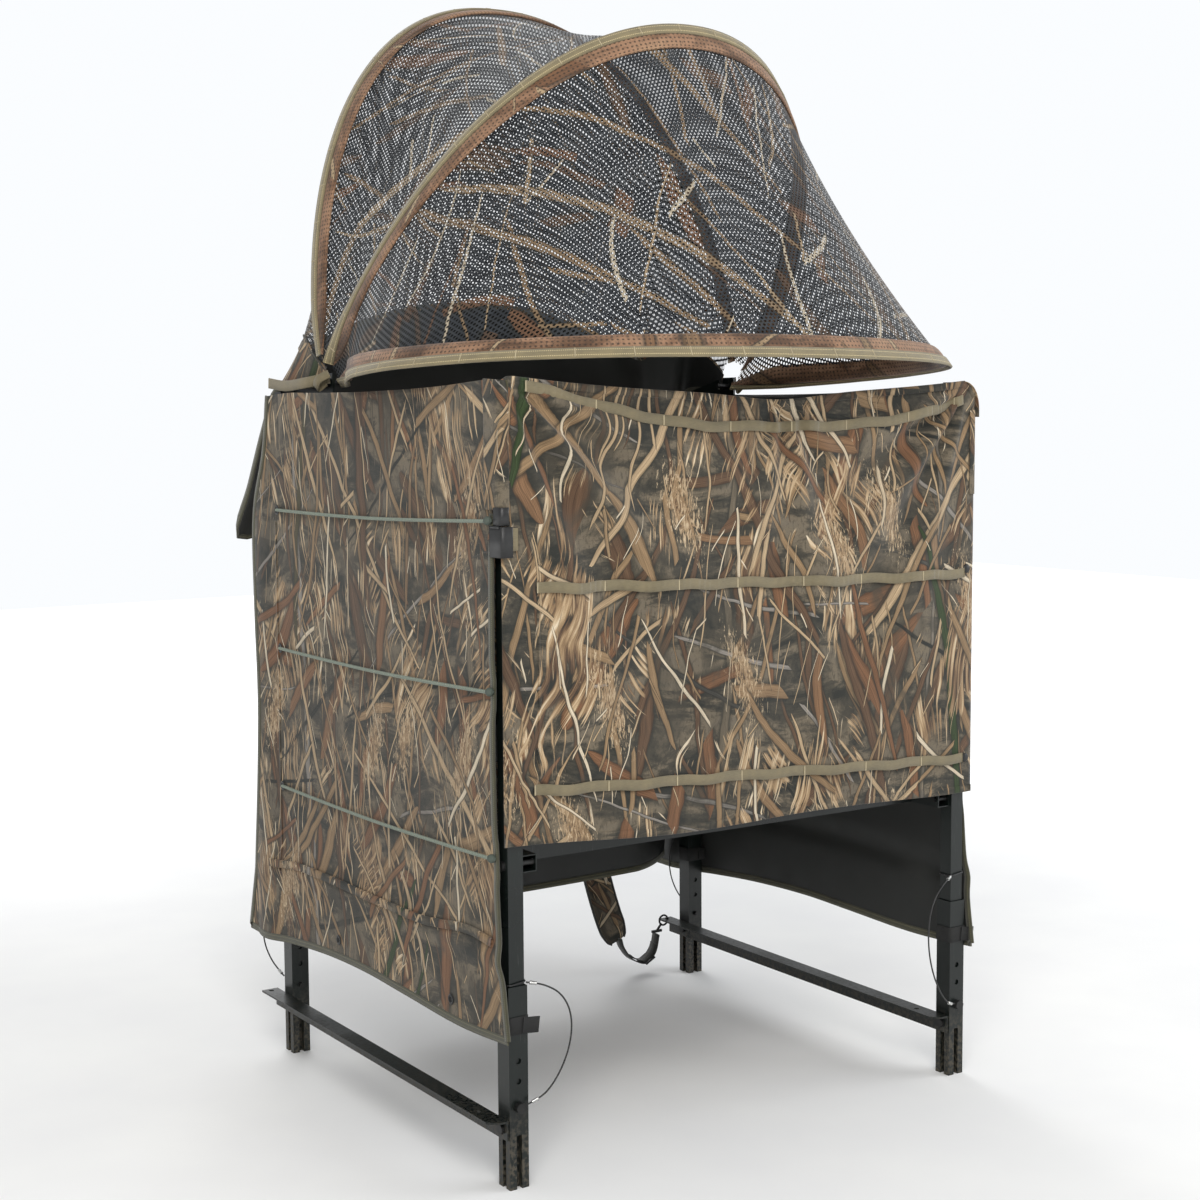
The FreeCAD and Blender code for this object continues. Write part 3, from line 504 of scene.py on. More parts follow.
NET_LAYERS = [PRINT_LAYERS[i] for i in (1, 4, 6, 9, 10, 12)]
NET_BASE = ((0.012, 0.015, 0.020), (0.020, 0.025, 0.032), (0.034, 0.040, 0.048), (0.05, 0.054, 0.058))
SLEEVE_BASE = ((0.10, 0.052, 0.028), (0.20, 0.11, 0.062), (0.30, 0.17, 0.10), (0.36, 0.22, 0.13))
PRINT = cloth_material("printed_cloth", 0.90)
PRINT_HOOD = cloth_material("printed_hood_cloth", 0.90)
NET = cloth_material("printed_net", 0.6, NET_LAYERS, 0.7, NET_BASE)
SLEEVE_NET = cloth_material(
    "brown_sleeve_net", 0.9, [PRINT_LAYERS[5], PRINT_LAYERS[9]], 0.7, SLEEVE_BASE, 130,
)
LINING = lining_material()
WEB = webbing_material("tan_webbing", (0.19, 0.155, 0.088), (0.13, 0.108, 0.06))
WEB_STITCHED = webbing_material(
    "stitched_webbing", (0.215, 0.175, 0.095), (0.145, 0.12, 0.066), stitch=0.0045,
)
BINDING = webbing_material("olive_binding", (0.058, 0.055, 0.030), (0.034, 0.033, 0.019), stitch=0.0030)
DARK_BINDING = webbing_material("dark_binding", (0.030, 0.030, 0.026), (0.018, 0.018, 0.016), stitch=0.004)
THREAD = plain_material("pale_thread", (0.40, 0.34, 0.22), (0.30, 0.25, 0.16), 0.8)
PAINT = paint_material()
BLACK_STEEL = plain_material("black_steel", (0.035, 0.035, 0.034), (0.018, 0.018, 0.018), 0.38, 0.6)
BLACK_PLASTIC = plain_material("black_plastic", (0.012, 0.012, 0.012), (0.007, 0.007, 0.007), 0.42)
SILVER = plain_material("crimped_aluminium", (0.62, 0.62, 0.60), (0.42, 0.42, 0.41), 0.34, 1.0)
WIRE = plain_material("black_coated_wire", (0.022, 0.022, 0.022), (0.010, 0.010, 0.010), 0.42, 0.0, 900.0)
FUZZ = plain_material("hook_and_loop", (0.020, 0.020, 0.019), (0.010, 0.010, 0.010), 0.92, 0.0, 1500.0, 0.6)
ELASTIC = elastic_material()


# ---------------------------------------------------------------- mesh helpers
def piece(name, verts, faces, uvs=None, materials=()):
    """A mesh object; uvs are one place per vertex, in metres."""
    mesh = bpy.data.meshes.new(name)
    mesh.from_pydata([tuple(map(float, v)) for v in verts], [], [tuple(map(int, f)) for f in faces])
    mesh.validate()
    if uvs is not None:
        layer = mesh.uv_layers.new(name="cloth")
        corner = np.zeros(len(mesh.loops), int)
        mesh.loops.foreach_get("vertex_index", corner)
        layer.data.foreach_set("uv", np.asarray(uvs, float)[corner].ravel())
    for made in materials:
        mesh.materials.append(made)
    mesh.polygons.foreach_set("use_smooth", [True] * len(mesh.polygons))
    obj = bpy.data.objects.new(name, mesh)
    bpy.context.scene.collection.objects.link(obj)
    return obj


def grid(name, points, uvs, materials, flip=False):
    """A sheet from rows of points; points is rows x columns x 3."""
    rows, columns = points.shape[:2]
    at = np.arange(rows * columns).reshape(rows, columns)
    faces = np.stack([at[:-1, :-1], at[:-1, 1:], at[1:, 1:], at[1:, :-1]], -1).reshape(-1, 4)
    if flip:
        faces = faces[:, ::-1]
    return piece(name, points.reshape(-1, 3), faces, uvs.reshape(-1, 2), materials)


def apply_modifiers(obj):
    """Bakes an object's modifiers into its mesh."""
    depsgraph = bpy.context.evaluated_depsgraph_get()
    mesh = bpy.data.meshes.new_from_object(obj.evaluated_get(depsgraph))
    obj.modifiers.clear()
    obj.data = mesh
    return obj


def thicken(obj, thickness):
    """Gives a sheet its thickness, with its second material on the inner face."""
    solid = obj.modifiers.new("thick", "SOLIDIFY")
    solid.thickness = thickness
    solid.offset = -1.0
    solid.material_offset = 1
    solid.material_offset_rim = 0
    return apply_modifiers(obj)


def smooth_line(points, per_metre=120):
    """A smooth line through the points, evenly spaced (a Catmull-Rom spline)."""
    p = np.asarray(points, float)
    p = np.vstack([2 * p[0] - p[1], p, 2 * p[-1] - p[-2]])
    out = []
    for i in range(1, len(p) - 2):
        steps = max(3, int(np.linalg.norm(p[i + 1] - p[i]) * per_metre * 1.5))
        t = np.linspace(0, 1, steps, endpoint=i == len(p) - 3)[:, None]
        a, b, c, d = p[i - 1 : i + 3]
        square, cube = 2 * a - 5 * b + 4 * c - d, 3 * b - a - 3 * c + d
        out.append(0.5 * (2 * b + (c - a) * t + square * t**2 + cube * t**3))
    line = np.vstack(out)
    return even(line, max(4, int(length_of(line) * per_metre)))


def gone_along(line):
    """How far along the line each of its points is."""
    return np.r_[0, np.cumsum(np.linalg.norm(np.diff(line, axis=0), axis=1))]


def length_of(line):
    return float(np.linalg.norm(np.diff(line, axis=0), axis=1).sum())


def even(line, count):
    """The same line with evenly spaced points."""
    gone = gone_along(line)
    at = np.linspace(0, gone[-1], count)
    return np.stack([np.interp(at, gone, line[:, k]) for k in range(3)], 1)


def unit(v):
    v = np.asarray(v, float)
    return v / np.maximum(np.linalg.norm(v, axis=-1, keepdims=True), 1e-12)


def tangents(line):
    return unit(np.gradient(line, axis=0))


def bar_faces(rows, sides):
    """The faces of a closed-ended bar from rings of points."""
    at = np.arange(rows * sides).reshape(-1, sides)
    after = np.roll(at, -1, axis=1)
    around = np.stack([at[:-1], after[:-1], after[1:], at[1:]], -1).transpose(1, 0, 2).reshape(-1, 4)
    return [tuple(f) for f in around] + [tuple(at[0]), tuple(at[-1][::-1])]


def band(name, line, across, width, thick, made, print_at=None):
    """A flat strap along a line. across is its width's direction at each point or one for all.

    With print_at (an axis and its shift) it carries the same print as the cloth it is sewn to.
    """
    line = np.asarray(line, float)
    across = np.broadcast_to(np.asarray(across, float), line.shape)
    run = tangents(line)
    across = unit(across - run * (across * run).sum(1, keepdims=True))
    out = np.cross(run, across)
    u = gone_along(line)
    half, rise = width / 2, thick / 2
    flat = half - min(rise, half) * 0.45
    ring = [(-half, 0), (-flat, rise), (flat, rise), (half, 0), (flat, -rise), (-flat, -rise)]
    rows = np.stack([line + across * a + out * b for a, b in ring], 1)
    uv = np.stack([np.stack([u, np.full(len(line), a)], 1) for a, _ in ring], 1)
    if print_at:
        axis, shift = print_at
        uv = np.stack([rows[..., axis] + shift, rows[..., 2]], -1)
    return piece(name, rows.reshape(-1, 3), bar_faces(len(line), len(ring)), uv.reshape(-1, 2), [made])


def tube(name, line, radius, made, sides=10, flat=1.0, up=None):
    """A round or flattened bar along a line."""
    line = np.asarray(line, float)
    run = tangents(line)
    if up is None:
        along = unit(np.cross(run[0], (0.13, 0.21, 0.97)))
        side = []
        for t in run:
            along = unit(along - t * (along @ t))
            side.append(along)
        side = np.array(side)
    else:
        side = unit(np.cross(run, np.broadcast_to(np.asarray(up, float), run.shape)))
    top = np.cross(side, run)
    radius = np.broadcast_to(np.asarray(radius, float), (len(line),))
    turn_at = np.arange(sides) * 2 * math.pi / sides
    rows = []
    for a in turn_at:
        wide, tall = math.cos(a) * radius, math.sin(a) * radius * flat
        rows.append(line + side * wide[:, None] + top * tall[:, None])
    rows = np.stack(rows, 1)
    u = gone_along(line)
    uv = np.stack([np.stack([u, radius * a], 1) for a in turn_at], 1)
    return piece(name, rows.reshape(-1, 3), bar_faces(len(line), sides), uv.reshape(-1, 2), [made])


def join(name, objects):
    """One piece from several, each keeping its materials."""
    mesh = bpy.data.meshes.new(name)
    made = bmesh.new()
    materials = []
    for obj in objects:
        start = len(made.faces)
        made.from_mesh(obj.data)
        made.faces.ensure_lookup_table()
        for face in made.faces[start:]:
            wanted = obj.data.materials[face.material_index]
            if wanted not in materials:
                materials.append(wanted)
            face.material_index = materials.index(wanted)
    made.to_mesh(mesh)
    made.free()
    for wanted in materials:
        mesh.materials.append(wanted)
    for obj in objects:
        bpy.data.objects.remove(obj)
    joined = bpy.data.objects.new(name, mesh)
    bpy.context.scene.collection.objects.link(joined)
    return joined


def lathe(name, at, axis, outline, made, sides=24):
    """A turned piece: outline is (distance along the axis, radius)."""
    axis = unit(axis)
    line = np.array([np.asarray(at) + axis * along for along, _ in outline])
    other = unit(np.cross(axis, (0.3, 0.5, 0.81)))
    third = np.cross(axis, other)
    rows = []
    for k in range(sides):
        a = 2 * math.pi * k / sides
        rows.append([p + (other * math.cos(a) + third * math.sin(a)) * r for p, (_, r) in zip(line, outline)])
    rows = np.array(rows).transpose(1, 0, 2)
    obj = piece(name, rows.reshape(-1, 3), bar_faces(len(outline), sides), None, [made])
    edges = obj.modifiers.new("edges", "EDGE_SPLIT")
    edges.split_angle = math.radians(50)
    return apply_modifiers(obj)


def route_line(points):
    """A cord's smooth line: a NURBS curve with the route's points as its control points."""
    curve = bpy.data.curves.new("route", "CURVE")
    curve.dimensions = "3D"
    spline = curve.splines.new("NURBS")
    spline.points.add(len(points) - 1)
    for point, place in zip(spline.points, points):
        point.co = (*place, 1)
    spline.order_u = 3
    spline.use_endpoint_u = True
    spline.resolution_u = 8
    obj = bpy.data.objects.new("route", curve)
    bpy.context.scene.collection.objects.link(obj)
    mesh = bpy.data.meshes.new_from_object(obj.evaluated_get(bpy.context.evaluated_depsgraph_get()))
    line = np.array([tuple(v.co) for v in mesh.vertices])
    bpy.data.objects.remove(obj)
    return line


def coordinates(obj):
    out = np.empty(len(obj.data.vertices) * 3)
    obj.data.vertices.foreach_get("co", out)
    return out.reshape(-1, 3)


def wrinkle(x, y, seed, scale=1.0):
    """A smooth random field made of a few crossing waves."""
    dice = np.random.default_rng(seed)
    total = np.zeros_like(x)
    for k in range(9):
        a, phase = dice.uniform(0, math.pi), dice.uniform(0, 2 * math.pi)
        f = dice.uniform(3, 13) * scale
        bend = 0.35 * np.sin(f * 0.6 * (x * math.sin(a) - y * math.cos(a)) + phase * 2)
        total += np.sin(f * (x * math.cos(a) + y * math.sin(a)) + phase + bend) / (1 + 0.16 * f)
    return total / 3.2


def settle(obj, body, stands_for=None):
    """Rides a piece on its body, and hides the CAD node it stands for."""
    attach(obj, body)
    if stands_for:
        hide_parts(stands_for)


# ---------------------------------------------------------------- frame finishes
for name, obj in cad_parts.items():
    made = PAINT
    if "pin" in name or "bolt" in name:
        made = BLACK_STEEL
    if "caps" in name or "clips" in name or "snap" in name:
        made = BLACK_PLASTIC
    obj.data.materials.clear()
    obj.data.materials.append(made)


# ---------------------------------------------------------------- front panel and its straps
ROUND_FROM, ROUND_WIDE, ROUND_LOW, ROUND_TALL = 0.406, 0.054, 1.112, 0.058


def rounded(x):
    """The height of the right corner's rounded outline, which clears the post's cap."""
    s = np.clip((x - ROUND_FROM) / ROUND_WIDE, 0, 1)
    return ROUND_LOW + ROUND_TALL * (1 - s**3) ** (1 / 3)


def front_top(x):
    """The slack top edge: it sags between the posts and is rounded at its right corner."""
    s = x / PANEL_HALF
    sag = 0.024 * (1 - s**2) + 0.010 * np.exp(-((s - 0.1) ** 2) / 0.05)
    corner = 0.010 * np.clip((-s - 0.97) / 0.03, 0, 1)
    return np.minimum(PANEL_HIGH + 0.010 - sag - corner, rounded(x))


def front_bottom(x):
    s = x / PANEL_HALF
    return PANEL_LOW + 0.004 + 0.012 * np.clip(-s, 0, 1) + 0.004 * np.sin(5 * s)


PANEL_COLUMNS, PANEL_ROWS = 151, 113
# where slack folds start, which way they lean and how deep they are
FRONT_FOLDS = (
    (-0.45, 1.17, 0.75, 0.029), (0.44, 1.16, -0.80, 0.026), (0.05, 1.17, 0.2, 0.011),
    (-0.45, 0.55, 2.4, 0.009),
)


def front_surface():
    """The front cloth's outer surface as rows by columns of points, with its cloth places."""
    u = np.linspace(-1, 1, PANEL_COLUMNS)
    v = np.linspace(0, 1, PANEL_ROWS)[:, None]
    x = np.broadcast_to(u * PANEL_HALF, (PANEL_ROWS, PANEL_COLUMNS))
    z = front_bottom(x) + (front_top(x) - front_bottom(x)) * v
    away = np.clip((1 - np.abs(u)) / 0.25, 0, 1) ** 0.8
    slack = wrinkle(x, z, 3) * 0.0055 + wrinkle(x, z, 4, 2.6) * 0.0022
    # each set of slack folds fans out from the place where it starts
    for corner_x, corner_z, lean, size in FRONT_FOLDS:
        dx, dz = x - corner_x, z - corner_z
        far = np.hypot(dx, dz)
        angle = np.arctan2(dx, -dz)
        fan = np.cos(14 * (angle - lean)) * np.exp(-(((angle - lean) / 0.6) ** 2))
        slack = slack + size * fan * np.exp(-far / 0.3) * np.clip(far / 0.07, 0, 1)
    droop = 0.012 * np.clip((v - 0.72) / 0.28, 0, 1) ** 2 * (1 - (x / PANEL_HALF) ** 2)
    y = FRONT_FACE + 0.0012 - (slack + 0.004) * away - 0.004 * away * v * (1 - v) * 4 + droop * 0.6
    # it can't go in past the posts and the tube behind it
    inmost = FRONT_FACE + 0.0070
    y = np.where(y > inmost - 0.003, inmost - 0.003 * np.exp(-(y - inmost + 0.003) / 0.003), y)
    points = np.stack([x, y, z], -1)
    return points, np.stack([x + FRONT_PRINT, z], -1)


front_points, front_uv = front_surface()


def front_at(x, z):
    """The nearest surface place at x and height z."""
    column = np.interp(x, front_points[0, :, 0], np.arange(PANEL_COLUMNS))
    i = int(np.clip(round(float(column)), 0, PANEL_COLUMNS - 1))
    return np.array([x, np.interp(z, front_points[:, i, 2], front_points[:, i, 1]), z])


def make_front():
    panel = grid("front_cloth", front_points, front_uv, [PRINT, LINING])
    thicken(panel, CLOTH_THICK)
    settle(panel, "front_frame", "front_panel")
    heights = {
        "top": [
            (-0.415, 1.158), (-0.25, 1.122), (-0.11, 1.102), (0.03, 1.099), (0.18, 1.101), (0.31, 1.115),
            (0.425, 1.140),
        ],
        "middle": [(-0.40, 0.874), (-0.2, 0.868), (0.0, 0.862), (0.2, 0.857), (0.43, 0.856)],
        "bottom": [(-0.405, 0.584), (-0.2, 0.574), (0.0, 0.565), (0.2, 0.556), (0.43, 0.546)],
    }
    straps = []
    for k, (name, places) in enumerate(heights.items()):
        line = smooth_line([(x, 0, z) for x, z in places], 260)
        on = np.array([front_at(x, z) for x, _, z in line])
        along = gone_along(on)
        loop = 0.124
        lift = 0.0035 * np.abs(np.sin(math.pi * along / loop)) ** 0.7
        sway = 0.0022 * np.sin(2 * math.pi * along / loop + k) * np.abs(np.sin(math.pi * along / loop))
        on[:, 1] -= 0.0016 + lift
        on[:, 2] += sway
        straps.append(band(f"strap_{name}", on, UPRIGHT, 0.016, 0.0016, WEB))
        count = int(along[-1] / loop)
        for j in range(count + 1):
            at = np.array([np.interp(j * loop, along, on[:, c]) for c in range(3)])
            tack = np.array([at + (0, -0.0011, -0.0075), at + (0, -0.0011, 0.0075)])
            straps.append(band(f"tack_{name}_{j}", even(tack, 8), (1, 0, 0), 0.0022, 0.0012, THREAD))
    brush = join("brush_strap_webbing", straps)
    settle(brush, "front_frame", "brush_straps")
    for name, edge, shift in (("hem", 0, 0.004), ("top_binding", -1, -0.002)):
        line = front_points[edge][::2].copy()
        line[:, 1] += 0.0002
        line[:, 2] += shift
        hem = band(f"front_{name}", line, UPRIGHT, 0.012, 0.0030, PRINT, (0, FRONT_PRINT))
        settle(hem, "front_frame")
    seam_line = np.array([front_at(-0.397, z) for z in np.linspace(0.60, 0.84, 40)])
    seam_line[:, 1] -= 0.0008
    seam = band("front_seam", seam_line, (1, 0, 0), 0.004, 0.0012, PRINT, (0, FRONT_PRINT))
    settle(seam, "front_frame")
    for k, (x, z) in enumerate(((0.438, 0.862), (0.440, 0.545))):
        at = front_at(x, z)
        snap = lathe(
            f"snap_button_{k}", at + (0, 0.001, 0), (0, -1, 0),
            [(0, 0.0075), (0.0022, 0.0075), (0.004, 0.0055), (0.0042, 0.001)], BLACK_STEEL,
        )
        settle(snap, "front_frame")


# ---------------------------------------------------------------- side skirts
SKIRT_TOP = [(-0.3665, 1.168), (-0.20, 1.160), (0.0, 1.157), (0.18, 1.158), (0.300, 1.160), (0.385, 1.156)]
SKIRT_FRONT = [
    (-0.3665, 1.168), (-0.365, 0.90), (-0.364, 0.60), (-0.371, 0.42), (-0.385, 0.30), (-0.396, 0.226),
]
SKIRT_HEM = [
    (-0.396, 0.226), (-0.30, 0.220), (-0.215, 0.219), (-0.08, 0.223), (0.045, 0.226), (0.19, 0.222),
    (0.32, 0.212), (0.43, 0.200), (0.515, 0.199),
]
SKIRT_REAR = [
    (0.385, 1.156), (0.404, 1.05), (0.455, 0.93), (0.449, 0.80), (0.438, 0.66), (0.440, 0.55),
    (0.462, 0.40), (0.515, 0.199),
]


def yz_line(points, count):
    return even(smooth_line([(0, y, z) for y, z in points], 200), count)


SKIRT_PRINT = {"left": 2.1, "right": 4.3}


def skirt_surface(side):
    """A side cloth's outer surface, from a grid between its four edges."""
    rows, columns = 121, 117
    top, hem = yz_line(SKIRT_TOP, columns), yz_line(SKIRT_HEM, columns)
    front, rear = yz_line(SKIRT_FRONT[::-1], rows), yz_line(SKIRT_REAR[::-1], rows)
    v = np.linspace(0, 1, rows)[:, None, None]
    u = np.linspace(0, 1, columns)[None, :, None]
    points = (1 - v) * hem[None] + v * top[None] + (1 - u) * front[:, None] + u * rear[:, None]
    points -= (1 - u) * (1 - v) * hem[0] + u * (1 - v) * hem[-1] + (1 - u) * v * top[0] + u * v * top[-1]
    y, z = points[..., 1], points[..., 2]
    seed = 11 if side == "left" else 17
    loose = np.clip((y + 0.36) / 0.25, 0, 1) * np.clip((1.175 - z) / 0.25, 0, 1)
    push = wrinkle(y, z * 0.8, seed) * 0.0055 * loose + wrinkle(y, z, seed + 1, 2.4) * 0.0016
    # behind the rear post the cloth bellies out and its free edge curls
    behind = np.clip((y - POST_Y + 0.02) / 0.14, 0, 1)
    push = push + 0.010 * np.sin(behind * math.pi * 1.3) * behind
    # the elastic cords pull the cloth in along three lines
    for line in (0.963, 0.724, 0.483):
        push = push - 0.004 * np.exp(-(((z - line) / 0.028) ** 2)) * np.clip((0.36 - y) / 0.05, 0, 1)
    # the pocket's upper edge stands proud
    pocket = 0.355 + 0.012 * np.cos(4 * y)
    push = push + 0.0055 * np.exp(-(((z - pocket + 0.018) / 0.02) ** 2)) * (y < 0.40)
    push = np.clip(push, -0.0022, 0.016)
    sign = SIGN[side]
    points[..., 0] = sign * (SKIRT_X + push)
    return points, np.stack([y + SKIRT_PRINT[side], z], -1)


def nearest_x(points, y, z):
    """The skirt's x at a place given by y and z."""
    gap = (points[..., 1] - y) ** 2 + (points[..., 2] - z) ** 2
    return points[np.unravel_index(np.argmin(gap), gap.shape)][0]


def fold_with_frame(obj):
    """Gives the piece its own copy of its mesh."""
    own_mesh(obj)


CORNER_LOW = 0.985


def make_corner(side):
    """The strip that joins the front cloth to the side cloth round the top of the front post."""
    sign = SIGN[side]
    rows = np.linspace(CORNER_LOW, 1.169 if side == "left" else ROUND_LOW + 0.012, 40)
    across = [(sign * (SKIRT_X + 0.0022), -0.352), (sign * (SKIRT_X + 0.0026), -0.372)]
    across += [(sign * (SKIRT_X + 0.0016), -0.388), (sign * (SKIRT_X - 0.003), FRONT_FACE - 0.0012)]
    across += [(sign * (SKIRT_X - 0.014), FRONT_FACE - 0.0020)]
    round_it = smooth_line([(x, y, 0) for x, y in across], 500)
    points = np.array([[(x, y, z) for x, y, _ in round_it] for z in rows])
    ease = np.clip((rows - 1.10) / 0.072, 0, 1) ** 2 * 0.004
    points[..., 2] -= ease[:, None] * np.linspace(0, 1, points.shape[1])[None, :]
    gone = np.linspace(0, length_of(round_it), len(round_it))[None, :] + 0 * rows[:, None]
    uv = np.stack([gone + 2.9, points[..., 2]], -1)
    cloth = grid(f"corner_{side}", points, uv, [PRINT, LINING], side == "right")
    thicken(cloth, THIN_CLOTH)
    settle(cloth, "front_frame")


def make_corner_cover():
    """The cloth rounded over the right front post's cap, cut back where the top rail turns up beside it."""
    rows, columns = 30, 14
    turn_at = np.linspace(0.35, math.pi / 2, rows)
    x = ROUND_FROM + (ROUND_WIDE + 0.0012) * np.sin(turn_at) ** (2 / 3)
    z = ROUND_LOW + (ROUND_TALL + 0.0012) * np.cos(turn_at) ** (2 / 3)
    along = np.r_[0, np.cumsum(np.hypot(np.diff(x), np.diff(z)))]
    rear_edge = np.interp(x, (0.4425, 0.4448), (-0.340, -0.3850))
    y = np.linspace(np.full(rows, FRONT_FACE - 0.0030), rear_edge, columns, axis=1)
    points = np.stack(np.broadcast_arrays(x[:, None], y, z[:, None]), -1)
    uv = np.stack(np.broadcast_arrays(y + 3.6, along[:, None]), -1)
    cover = grid("corner_cover", points, uv, [PRINT, LINING])
    thicken(cover, THIN_CLOTH)
    settle(cover, "front_frame")


def make_edge_clip():
    """The black clip that holds the front cloth's free edge to the left front post, with its olive tab."""
    x, y = -SKIRT_X - 0.0016, FRONT_FACE
    round_edge = [(x, -0.3665), (x, y - 0.001), (x + 0.0025, y - 0.0065), (x + 0.017, y - 0.0072)]
    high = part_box("panel_clips")[1][2]
    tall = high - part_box("panel_clips")[0][2]
    line = smooth_line([(a, b, high - tall / 2) for a, b in round_edge], 500)
    clip = band("clip_body", line, UPRIGHT, tall, 0.0026, BLACK_PLASTIC)
    loop = [(x, y + 0.016), (x - 0.0006, y + 0.002), (x + 0.0016, y - 0.0045), (x + 0.012, y - 0.0052)]
    upper_line = smooth_line([(a, b, high + 0.014) for a, b in loop], 500)
    upper = band("clip_loop", upper_line, UPRIGHT, 0.026, 0.0020, BLACK_PLASTIC)
    bar = np.array([(x - 0.0016, b, high - 0.001) for b in np.linspace(-0.368, y - 0.002, 8)])
    ledge = band("clip_ledge", bar, UPRIGHT, 0.004, 0.0016, BLACK_PLASTIC)
    both = join("edge_clip", [clip, upper, ledge])
    settle(both, "front_frame")
    flat = np.array([(x + a, y - 0.0050, high - tall / 2 + 0.004) for a in np.linspace(0.016, 0.027, 8)])
    tab = band("clip_tab", flat, UPRIGHT, 0.032, 0.0018, WEB)
    settle(tab, "front_frame")


def make_skirt(side):
    sign = SIGN[side]
    points, uv = skirt_surface(side)
    cloth = grid(f"skirt_{side}", points, uv, [PRINT, LINING], flip=side == "left")
    thicken(cloth, CLOTH_THICK)
    settle(cloth, "rear_frame", f"side_skirt_{side}")
    fold_with_frame(cloth)
    free = points[:, 0]
    edges = [
        ("hem", points[0]), ("front_edge", free[free[:, 2] < CORNER_LOW]), ("rear_edge", points[:, -1]),
    ]
    for name, line in edges:
        line = line.copy()
        line[:, 0] -= sign * 0.0006
        across = (0, 0, 1) if name == "hem" else (0, 1, 0)
        made = band(f"skirt_{name}_{side}", line, across, 0.013, 0.0036, BINDING)
        settle(made, "rear_frame")
        fold_with_frame(made)
    trims, shift = [], SKIRT_PRINT[side]
    seam_y = 0.362
    heights = np.linspace(0.33, 0.94, 90)
    seam = np.array([(nearest_x(points, seam_y, z) + sign * 0.0008, seam_y, z) for z in heights])
    trims.append(band("seam", seam, (0, 1, 0), 0.005, 0.0014, PRINT, (1, shift)))
    flap = []
    for y in np.linspace(0.40, -0.362, 90):
        z = 0.352 + 0.016 * math.exp(-((y + 0.30) / 0.10) ** 2) - 0.012 * math.exp(-((y - 0.40) / 0.08) ** 2)
        flap.append((nearest_x(points, y, z) + sign * 0.0030, y, z))
    trims.append(band("pocket", np.array(flap), UPRIGHT, 0.014, 0.0040, PRINT, (1, shift)))
    stitched = join(f"skirt_seams_{side}", trims)
    settle(stitched, "rear_frame")
    fold_with_frame(stitched)
    rings = []
    for y, z in ((0.354, 0.961), (0.354, 0.722), (0.354, 0.481), (0.15, 0.252), (-0.235, 0.248)):
        x = nearest_x(points, y, z)
        outline = [(0, 0.0048), (0.0016, 0.0085), (0.0024, 0.0070), (0.0020, 0.0046), (0.0004, 0.0034)]
        rings.append(lathe("ring", (x, y, z), (sign, 0, 0), outline, BLACK_STEEL, 20))
    eyelets = join(f"grommets_{side}", rings)
    settle(eyelets, "rear_frame")
    fold_with_frame(eyelets)


BUNGEES = {
    "top": [(0.352, 0.961), (0.120, 0.9584), (-0.130, 0.9612), (-0.362, 0.969)],
    "middle": [(0.352, 0.722), (0.120, 0.7182), (-0.130, 0.7196), (-0.362, 0.726)],
    "bottom": [(0.352, 0.481), (0.120, 0.4775), (-0.130, 0.47925), (-0.362, 0.486)],
}


def make_bungees(side):
    sign = SIGN[side]
    at_x = sign * -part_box("bungee_top_left")[0][0] - sign * ELASTIC_RADIUS
    for name, route in BUNGEES.items():
        line = even(route_line([(at_x, y, z) for y, z in route]), 90)
        elastic = tube(f"elastic_{name}_{side}", line, ELASTIC_RADIUS, ELASTIC, 12)
        front = line[-1]
        outline = [(0, 0.003), (0.003, 0.0058), (0.007, 0.0066), (0.011, 0.0056), (0.014, 0.0028)]
        knot = lathe(
            f"elastic_knot_{name}_{side}", front + (0, 0.004, 0), (0, -1, 0.1), outline, ELASTIC, 14,
        )
        settle(elastic, "rear_frame", f"bungee_{name}_{side}")
        settle(knot, "rear_frame")
        fold_with_frame(elastic)
        fold_with_frame(knot)


# ---------------------------------------------------------------- rear cloth
def make_back():
    low, high = (np.array(p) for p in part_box("back_panel"))
    rows, columns = 90, 100
    v = np.linspace(0, 1, rows)[:, None]
    u = np.linspace(-1, 1, columns)[None, :]
    x = u * 0.4455 + 0 * v
    z = low[2] + (1.155 - low[2]) * v - 0.008 * (1 - v) * (1 - u**2)
    corner = np.clip((np.abs(u) - 0.72) / 0.28, 0, 1)
    y = high[1] + 0.001 - 0.0165 * v + corner**1.6 * 0.075 * (1 - v) ** 1.2
    y = y + wrinkle(x, z, 23) * 0.006 * np.clip(1.2 - v, 0, 1) + wrinkle(x, z, 24, 2.4) * 0.0015
    y = np.maximum(y, low[1] + 0.0005 + 0.016 * (1 - v))
    points = np.stack([x, y, z], -1)
    uv = np.stack([x + 7.7, z], -1)
    cloth = grid("rear_cloth", points, uv, [PRINT, LINING], flip=True)
    thicken(cloth, CLOTH_THICK)
    settle(cloth, "rear_frame", "back_panel")
    hem_line = points[0].copy()
    hem_line[:, 1] -= 0.0006
    hem = band("rear_hem", hem_line, UPRIGHT, 0.013, 0.0036, BINDING)
    settle(hem, "rear_frame")


# ---------------------------------------------------------------- hood
def arch(half, depth, power, count=241, start_deg=3.0):
    turn_at = np.radians(np.linspace(start_deg, 180 - start_deg, count))
    across = -np.sign(np.cos(turn_at)) * np.abs(np.cos(turn_at)) ** (2 / power) * half
    return np.stack([across, np.abs(np.sin(turn_at)) ** (2 / power) * depth], 1)


def in_plane(flat, angle_deg):
    """Places from half-breadth and reach, in a plane through the pivot line."""
    a = math.radians(angle_deg)
    return np.stack([flat[:, 0], HOOD[1] - flat[:, 1] * math.cos(a), HOOD[2] + flat[:, 1] * math.sin(a)], 1)


